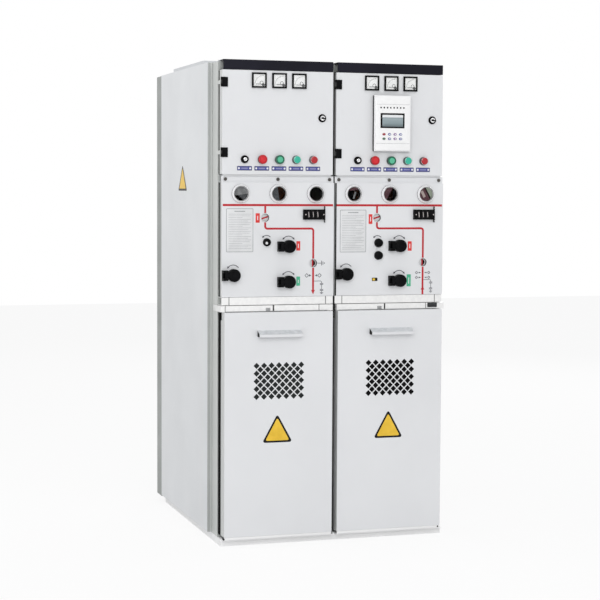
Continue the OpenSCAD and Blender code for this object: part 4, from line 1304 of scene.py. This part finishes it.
for side, middle in centre.items():
    x0, x1, z0, z1 = ruled_at[side]
    x0, x1 = middle + x0, middle + x1
    ruled = plate(
        f"instruction_plate_{side}", (x0, face, z0), (x1, panel_face, z1), 0.003, 0.0002
    )
    finish_piece(ruled, "root", plate_grey)
    rows = []
    wide, tall = x1 - x0 - 0.004, z1 - z0 - 0.004
    for x, z, heading, run in (
        (x0 + 0.002, z0 + 0.0014, 0, wide), (x0 + 0.002, z1 - 0.0014, 0, wide),
        (x0 + 0.0014, z0 + 0.002, 90, tall), (x1 - 0.0014, z0 + 0.002, 90, tall),
    ):
        rows.append(stroke("edge", x, face, z, heading, [(run,)], 0.0022, thin_ink))
    rows.append(stroke(
        "title", x0 + 0.036, face, z1 - 0.012, 0, [(x1 - x0 - 0.072,)], 0.0035, thin_ink
    ))
    for i in range(row_count):
        run = (x1 - x0 - 0.020) * row_lengths[i % len(row_lengths)]
        z = z1 - 0.024 - row_step * i
        rows.append(stroke("row", x0 + 0.010, face, z, 0, [(run,)], 0.0011, thin_ink))
    finish_piece(joined(f"instruction_rows_{side}", rows), "root", row_grey)
    reds, strips = [], []
    for from_x, to_x, low_z, high_z in reds_at[side]:
        low = (middle + from_x, face, low_z)
        high = (middle + to_x, panel_face, high_z)
        reds.append(plate("tag", low, high, 0.0015, 0.0002))
        strips.append(stroke(
            "strip", middle + (from_x + to_x) / 2, face, low_z + 0.011, 90,
            [(high_z - low_z - 0.022,)], 0.0032, thin_ink,
        ))
    finish_piece(joined(f"state_plates_{side}", reds), "root", tag_red)
    from_x, to_x, low_z, high_z = green_at[side]
    low = (middle + from_x, face, low_z)
    high = (middle + to_x, panel_face, high_z)
    green = plate(f"earth_plate_{side}", low, high, 0.0015, 0.0002)
    finish_piece(green, "root", tag_green)
    strips.append(stroke(
        "strip", middle + (from_x + to_x) / 2, face, low_z + 0.012, 90,
        [(high_z - low_z - 0.026,)], 0.0030, thin_ink,
    ))
    finish_piece(joined(f"plate_fields_{side}", strips), "root", plate_white)

# Charge window on the right-hand panel. It is a small yellow flag behind a black frame that shows
# whether the spring of the mechanism is charged.
flag_yellow = printed("flag_yellow", 240, 200, 62)
charge_frame = 0.0016
low = (centre["right"] - 0.079, panel_face - charge_frame, 1.115)
high = (centre["right"] - 0.054, panel_face, 1.129)
charge_window = plate("charge_window", low, high, 0.0015, 0.0004)
finish_piece(charge_window, "root", black_plastic)
low = (centre["right"] - 0.0765, panel_face - charge_frame - 0.0003, 1.1175)
high = (centre["right"] - 0.0655, panel_face - charge_frame, 1.1265)
finish_piece(plate("charge_flag", low, high, 0.0008, 0), "root", flag_yellow)

# Position indicators. Each white disc turns behind a white collar and carries a red bar, which
# lines up with the diagram when its switch is closed; a black segment on the right of each earth
# disc is painted shade from the recess it turns in.
disc_r = 0.0125
bar_half = (0.0032, 0.0158)
switch_tilt = 72
for side, middle in centre.items():
    collars = []
    for kind, (x, z) in (("switch", switch_at), ("earth", earth_at)):
        body = f"{kind}_indicator_{side}"
        bar_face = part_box(body)[0].y
        hub = (middle + x, bar_face, z)
        bar = plate(
            f"{kind}_bar_{side}", (hub[0] - bar_half[0], bar_face - 0.0003, z - bar_half[1]),
            (hub[0] + bar_half[0], bar_face + 0.0001, z + bar_half[1]), 0.001, 0,
        )
        bpy.ops.object.mode_set(mode="EDIT")
        bpy.ops.mesh.select_all(action="SELECT")
        if kind == "switch":
            bpy.ops.transform.rotate(
                value=math.radians(-switch_tilt), orient_axis="Y", center_override=hub
            )
        outward()
        finish_piece(bar, body, film_red)
        # Painted shade: a black segment on the right of the earth disc.
        if kind == "earth":
            half = turned(
                f"{kind}_half_{side}", hub[0], z, disc_r, bar_face + 0.0020, bar_face + 0.0016,
                0, 48,
            )
            bpy.ops.object.mode_set(mode="EDIT")
            bpy.ops.mesh.select_all(action="SELECT")
            bpy.ops.mesh.bisect(
                plane_co=(hub[0] + 0.0034, hub[1], z), plane_no=(1, 0, 0), use_fill=True,
                clear_inner=True,
            )
            outward()
            finish_piece(half, body, black_plastic)
        collars.append(ring(
            "collar", hub[0], z, 0.0194, 0.0172, panel_face - 0.0002, panel_face - 0.0011,
            0.0003, 48,
        ))
    finish_piece(joined(f"indicator_collars_{side}", collars), "root", white_plastic)

# Strip screws and rail joints. Blackened slotted screws hold the fixing strips, their slots drawn
# as dark strokes as painted shade; the rails are joined end to end, dark grey strips at the joints
# paint the shade in the joint grooves, and zinc fillers close two grooves of the lower one.
screw_black = dull(moulded("screw_black", from_screen(70, 66, 62), from_screen(96, 91, 86)), 0.3)
slot_dark = printed("slot_dark", 24, 23, 22)
# Painted shade: dark strips in the rail joints and dark strokes in the screw slots.
joint_dark = dull(printed("joint_dark", 60, 61, 62), 0.1)
upper_face, lower_face = door_face + 0.006, door_face - 0.003
upper_z, lower_z = (1.0205, 1.0535), (0.9925, 1.0190)
upper_joints = (-0.214, 0.212)
lower_joints = {"left": (-0.2330, 0.1800), "right": (-0.2405, 0.1680)}
groove_xs = (-0.211, 0.209)
screw_xs, screw_z = (-0.229, 0.0, 0.229), 1.5485
screw_face = door_face + 0.0095
for side, middle in centre.items():
    heads, slots, joints, fills = [], [], [], []
    for x in screw_xs:
        heads.append(turned(
            "head", middle + x, screw_z, 0.0072, door_face + 0.0139, screw_face, 0.0012, 32
        ))
        slots.append(stroke(
            "slot", middle + x - 0.0036, screw_face, screw_z - 0.0036, 45, [(0.0102,)], 0.0018,
            thin_ink,
        ))
    for xs, (z0, z1), face in (
        (upper_joints, upper_z, upper_face), (lower_joints[side], lower_z, lower_face),
    ):
        for x in xs:
            low = (middle + x - 0.0012, face - 0.0002, z0)
            high = (middle + x + 0.0012, face + 0.0010, z1)
            joints.append(plate("joint", low, high, 0, 0.0001))
    for x in groove_xs:
        low = (middle + x - 0.0016, lower_face - 0.00003, rails_low.z + 0.0002)
        high = (middle + x + 0.0016, lower_face + 0.0013, 1.0178)
        fills.append(plate("fill", low, high, 0, 0))
    finish_piece(joined(f"rail_fills_{side}", fills), "root", rail_zinc)
    finish_piece(joined(f"strip_screws_{side}", heads), "root", screw_black)
    finish_piece(joined(f"strip_slots_{side}", slots), "root", slot_dark)
    finish_piece(joined(f"rail_joints_{side}", joints), "root", joint_dark)

# Painted shade on the lower rail, and a block at its end. A small grey patch and a thin grey line
# on the rail of each cubicle paint the shade beside a slot and the shadow along the rail's lower
# edge, and a dark block sits at the right-hand end of the last one.
rail_shade_grey = printed("rail_shade_grey", 158, 159, 160)
shade_patch_x, shade_patch_z = (-0.056, -0.036), (0.9945, 1.0080)
shadow_line_x, shadow_line_z = (-0.232, 0.218), (0.9921, 0.9948)
end_block_x, end_block_z = (0.176, 0.220), (0.9985, 1.0180)
# Painted shade: a grey patch beside the slot and a grey shadow line under the rail.
for side, middle in centre.items():
    low = (middle + shade_patch_x[0], lower_face - 0.0006, shade_patch_z[0])
    high = (middle + shade_patch_x[1], lower_face + 0.0001, shade_patch_z[1])
    finish_piece(plate(f"rail_shade_patch_{side}", low, high, 0.0008, 0.0002), "root", rail_shade_grey)
    low = (middle + shadow_line_x[0], lower_face - 0.0004, shadow_line_z[0])
    high = (middle + shadow_line_x[1], lower_face + 0.0001, shadow_line_z[1])
    finish_piece(plate(f"rail_shadow_line_{side}", low, high, 0.0, 0.0002), "root", rail_shade_grey)
# A dark block at the right-hand end of the lower rail.
low = (centre["right"] + end_block_x[0], lower_face - 0.0030, end_block_z[0])
high = (centre["right"] + end_block_x[1], lower_face, end_block_z[1])
finish_piece(plate("rail_end_block", low, high, 0.003, 0.0012), "root", joint_dark)

# Voltage indicators. Behind each slot of the black case sits a neon lamp with a bright stripe, and
# a small white plug sits near either end of the case.
lamp_glass = printed("lamp_glass", 52, 48, 50)
lamp_stripe = printed("lamp_stripe", 214, 206, 204)
indicator_face = panel_face - 0.016
slot_x, slot_step = 0.126, 0.020
glass_x, glass_z = (0.0004, 0.0066), (1.3874, 1.4146)
stripe_at = (0.0052, 1.3905)
plug_xs, plug_z = (0.1165, 0.1965), 1.4005
for side, middle in centre.items():
    glasses, stripes = [], []
    for i in range(3):
        x = middle + slot_x + slot_step * i
        low = (x + glass_x[0], indicator_face + 0.0012, glass_z[0])
        high = (x + glass_x[1], indicator_face + 0.0029, glass_z[1])
        glasses.append(plate("glass", low, high, 0.0012, 0.0004))
        stripes.append(stroke(
            "stripe", x + stripe_at[0], indicator_face + 0.0012, stripe_at[1], 96, [(0.0205,)],
            0.0020, 0.0003,
        ))
    for x in plug_xs:
        stripes.append(turned(
            "plug", middle + x, plug_z, 0.0026, indicator_face + 0.0010, indicator_face - 0.0008,
            0.0006, 24,
        ))
    finish_piece(joined(f"voltage_lamps_{side}", glasses), "root", lamp_glass)
    finish_piece(joined(f"voltage_stripes_{side}", stripes), "root", lamp_stripe)

# White eye of the interlock knob. It is a pressed-in nylon stud that shows which way it is turned.
eye = turned(
    "interlock_eye", centre["left"] - 0.056, 1.281, 0.0056,
    panel_face - 0.0165, panel_face - 0.0196, 0.0014, 32,
)
finish_piece(eye, "interlock_knob_left", white_plastic)

# Triangular plates. Plain yellow triangles of film with a dark border are stuck on both cable doors
# and on the left end cover.
sign_black = dull(printed("sign_black", 16, 16, 18), 0.2)
sign_yellow = printed("sign_yellow", 240, 196, 52)


def triangle(name, x, z, wide, tall, back, front, corner):
    """An upright triangular plate with round corners, its base at z."""
    piece = three_sided(name, wide, back - front, tall)
    base = min(v.co.z for v in piece.data.vertices)
    piece.location = (x, (back + front) / 2, z - base)
    bpy.ops.object.transform_apply(location=True, rotation=True, scale=True)
    bpy.ops.object.mode_set(mode="EDIT")
    pick("EDGE", rises)
    bpy.ops.mesh.bevel(offset=corner, segments=5, affect="EDGES")
    outward()
    return piece


handle_out = 0.034
cable_face = cable_low.y + handle_out
sign_x, end_sign_y = -0.010, 0.068
door_sign = (
    ("border", 0.438, 0.134, 0.121, 0.0001, 0.0005, sign_black, 0.014),
    ("field", 0.4462, 0.106, 0.097, 0.0005, 0.0007, sign_yellow, 0.009),
)
end_sign = (
    ("border", 1.498, 0.162, 0.115, 0.0001, 0.0005, sign_black, 0.010),
    ("field", 1.5075, 0.122, 0.091, 0.0005, 0.0007, sign_yellow, 0.007),
)
for side, middle in centre.items():
    x = middle + sign_x
    for part, base, wide, tall, back, front, material, corner in door_sign:
        name = f"triangle_{part}_{side}"
        sign = triangle(name, x, base, wide, tall, cable_face - back, cable_face - front, corner)
        finish_piece(sign, f"cable_door_{side}", material)
for part, base, wide, tall, back, front, material, corner in end_sign:
    sign = triangle(f"triangle_{part}_end", 0, base, wide, tall, -back, -front, corner)
    choose(sign)
    sign.rotation_euler = (0, 0, math.radians(-90))
    sign.location = (cover_low.x, end_sign_y, 0)
    bpy.ops.object.transform_apply(location=True, rotation=True, scale=True)
    finish_piece(sign, "root", material)

# Handle covers of the cable doors. A folded strip of brushed steel closes the slope over each
# handle, and black plates fill its open ends as painted shade.
handle_face = plated(
    "handle_face", from_screen(206, 209, 211), from_screen(226, 228, 230), (0.4, 0.55)
)
handle_x, handle_z = -0.0035, 0.888
handle_half = 0.0948
for side, middle in centre.items():
    x = middle + handle_x
    low = (x - handle_half, cable_face - handle_out - 0.0004, handle_z + 0.0113)
    high = (x + handle_half, cable_face - 0.0001, handle_z + 0.0273)
    wedge = add_block(f"handle_cover_{side}", low, high)
    bpy.ops.object.mode_set(mode="EDIT")
    pick("EDGE", lambda e: all(v.co.y < low[1] + 1e-4 and v.co.z > high[2] - 1e-4 for v in e.verts))
    bpy.ops.transform.translate(value=(0, 0, low[2] - high[2] + 0.0012))
    pick("EDGE", lambda e: all(v.co.y > high[1] - 1e-4 and v.co.z < low[2] + 1e-4 for v in e.verts))
    bpy.ops.transform.translate(value=(0, 0, 0.0040))
    outward()
    finish_piece(wedge, f"cable_door_{side}", handle_face)
    # Painted shade: black end plates stand in for the shaded inside of the handle.
    ends = []
    for x0, x1 in ((low[0] - 0.0003, low[0]), (high[0], high[0] + 0.0003)):
        end = add_block(
            "end", (x0, low[1] + 0.0024, handle_z + 0.0008), (x1, high[1], high[2] - 0.0015)
        )
        bpy.ops.object.mode_set(mode="EDIT")
        pick("EDGE", lambda e: all(
            v.co.y < low[1] + 0.003 and v.co.z > low[2] + 0.003 for v in e.verts
        ))
        bpy.ops.transform.translate(value=(0, 0, low[2] - high[2] + 0.0015))
        outward()
        ends.append(end)
    finish_piece(joined(f"handle_end_shades_{side}", ends), f"cable_door_{side}", black_plastic)

# Door guides and grille shades. Painted guide plates hang under the lower rail, just inside the
# sides of each cable door, and a dark sheet is fixed behind each ventilation grille as painted
# shade for the inside seen through it, greyer on the left than on the right.
grille_shade_tones = {"left": (44, 47, 47), "right": (14, 14, 15)}
grille_x, grille_z = (-0.128, 0.120), (0.605, 0.795)
guide_xs = ((-0.2388, -0.2372), (0.2302, 0.2318))
guide_drop = 0.042
for side, middle in centre.items():
    guides = []
    for x0, x1 in guide_xs:
        low = (middle + x0, door_face - 0.0055, cable_high.z - guide_drop)
        high = (middle + x1, post_face - 0.030, rails_low.z)
        guides.append(plate("guide", low, high, 0, 0.0003))
    finish_piece(joined(f"door_guides_{side}", guides), "root", front_coat)
    # Painted shade: the sheet behind the grille is coloured near black.
    tone = from_screen(*grille_shade_tones[side])
    low = (middle + grille_x[0], cable_face + 0.0022, grille_z[0])
    high = (middle + grille_x[1], cable_face + 0.0030, grille_z[1])
    grille_shade = plate(f"grille_shade_{side}", low, high, 0.004, 0)
    grille_shade_paint = dull(moulded(f"grille_shade_{side}", tone, tone, (0.6, 0.8)))
    finish_piece(grille_shade, f"cable_door_{side}", grille_shade_paint)

# Blades, shutters and painted reflections behind the inspection windows. In the left-hand cubicle
# the zinc half-discs are painted reflections in the glass; in the right-hand one the plum, green
# and pale pieces and a zinc blade stand for the isolator behind the glass, each at its own angle.
porthole_z = 1.488
pane_back = 0.0060
shutter_r, shutter_t = 0.0285, 0.0006
layer_step = 0.0007
zinc_blade_and_reflection = plated(
    "zinc_blade_and_reflection", from_screen(150, 152, 154), from_screen(196, 197, 198), (0.5, 0.7)
)
dark_zinc_reflection = plated("dark_zinc_reflection", from_screen(96, 99, 102), from_screen(128, 130, 133), (0.5, 0.7))
pale_resin = printed("pale_resin", 246, 226, 220, 6)
plum_resin = printed("plum_resin", 120, 78, 86, 8)
green_resin = printed("green_resin", 214, 226, 204, 6)
# Painted reflection: the zinc pieces in the left-hand windows stand in for reflections in the
# glass.
seen_and_reflected = (
    ("left", -0.165, zinc_blade_and_reflection, 8, -0.004, 2), ("left", -0.165, dark_zinc_reflection, -38, -0.014, 1),
    ("left", 0.0, dark_zinc_reflection, 98, 0.002, 1),
    ("right", -0.165, plum_resin, 8, 0.016, 1), ("right", 0.0, plum_resin, 60, 0.004, 1),
    ("right", 0.165, plum_resin, 118, -0.006, 1), ("right", 0.165, green_resin, -62, 0.012, 1),
)
for i, (side, x, material, lean, offset, layer) in enumerate(seen_and_reflected):
    lean = math.radians(lean)
    across = Vector((-math.sin(lean), 0, math.cos(lean)))
    x += centre[side]
    back = panel_face - pane_back - layer_step * (layer - 1)
    shutter = turned(
        f"shutter_{side}_{i}", x, porthole_z, shutter_r, back, back - shutter_t, 0, 48
    )
    bpy.ops.object.mode_set(mode="EDIT")
    bpy.ops.mesh.select_all(action="SELECT")
    bpy.ops.mesh.bisect(
        plane_co=Vector((x, back, porthole_z)) + across * offset, plane_no=across, use_fill=True,
        clear_inner=True,
    )
    outward()
    finish_piece(shutter, "root", material)
for side, x, lean, drop, wide, material in (
    ("right", -0.168, 72, 0.020, 0.0075, zinc_blade_and_reflection),
    ("right", 0.158, 118, 0.012, 0.012, pale_resin),
):
    blade = stroke(
        f"blade_{side}_{lean}", centre[side] + x, panel_face - 0.0070, porthole_z - drop,
        lean, [(0.030,)], wide, 0.0004,
    )
    finish_piece(blade, "root", material)
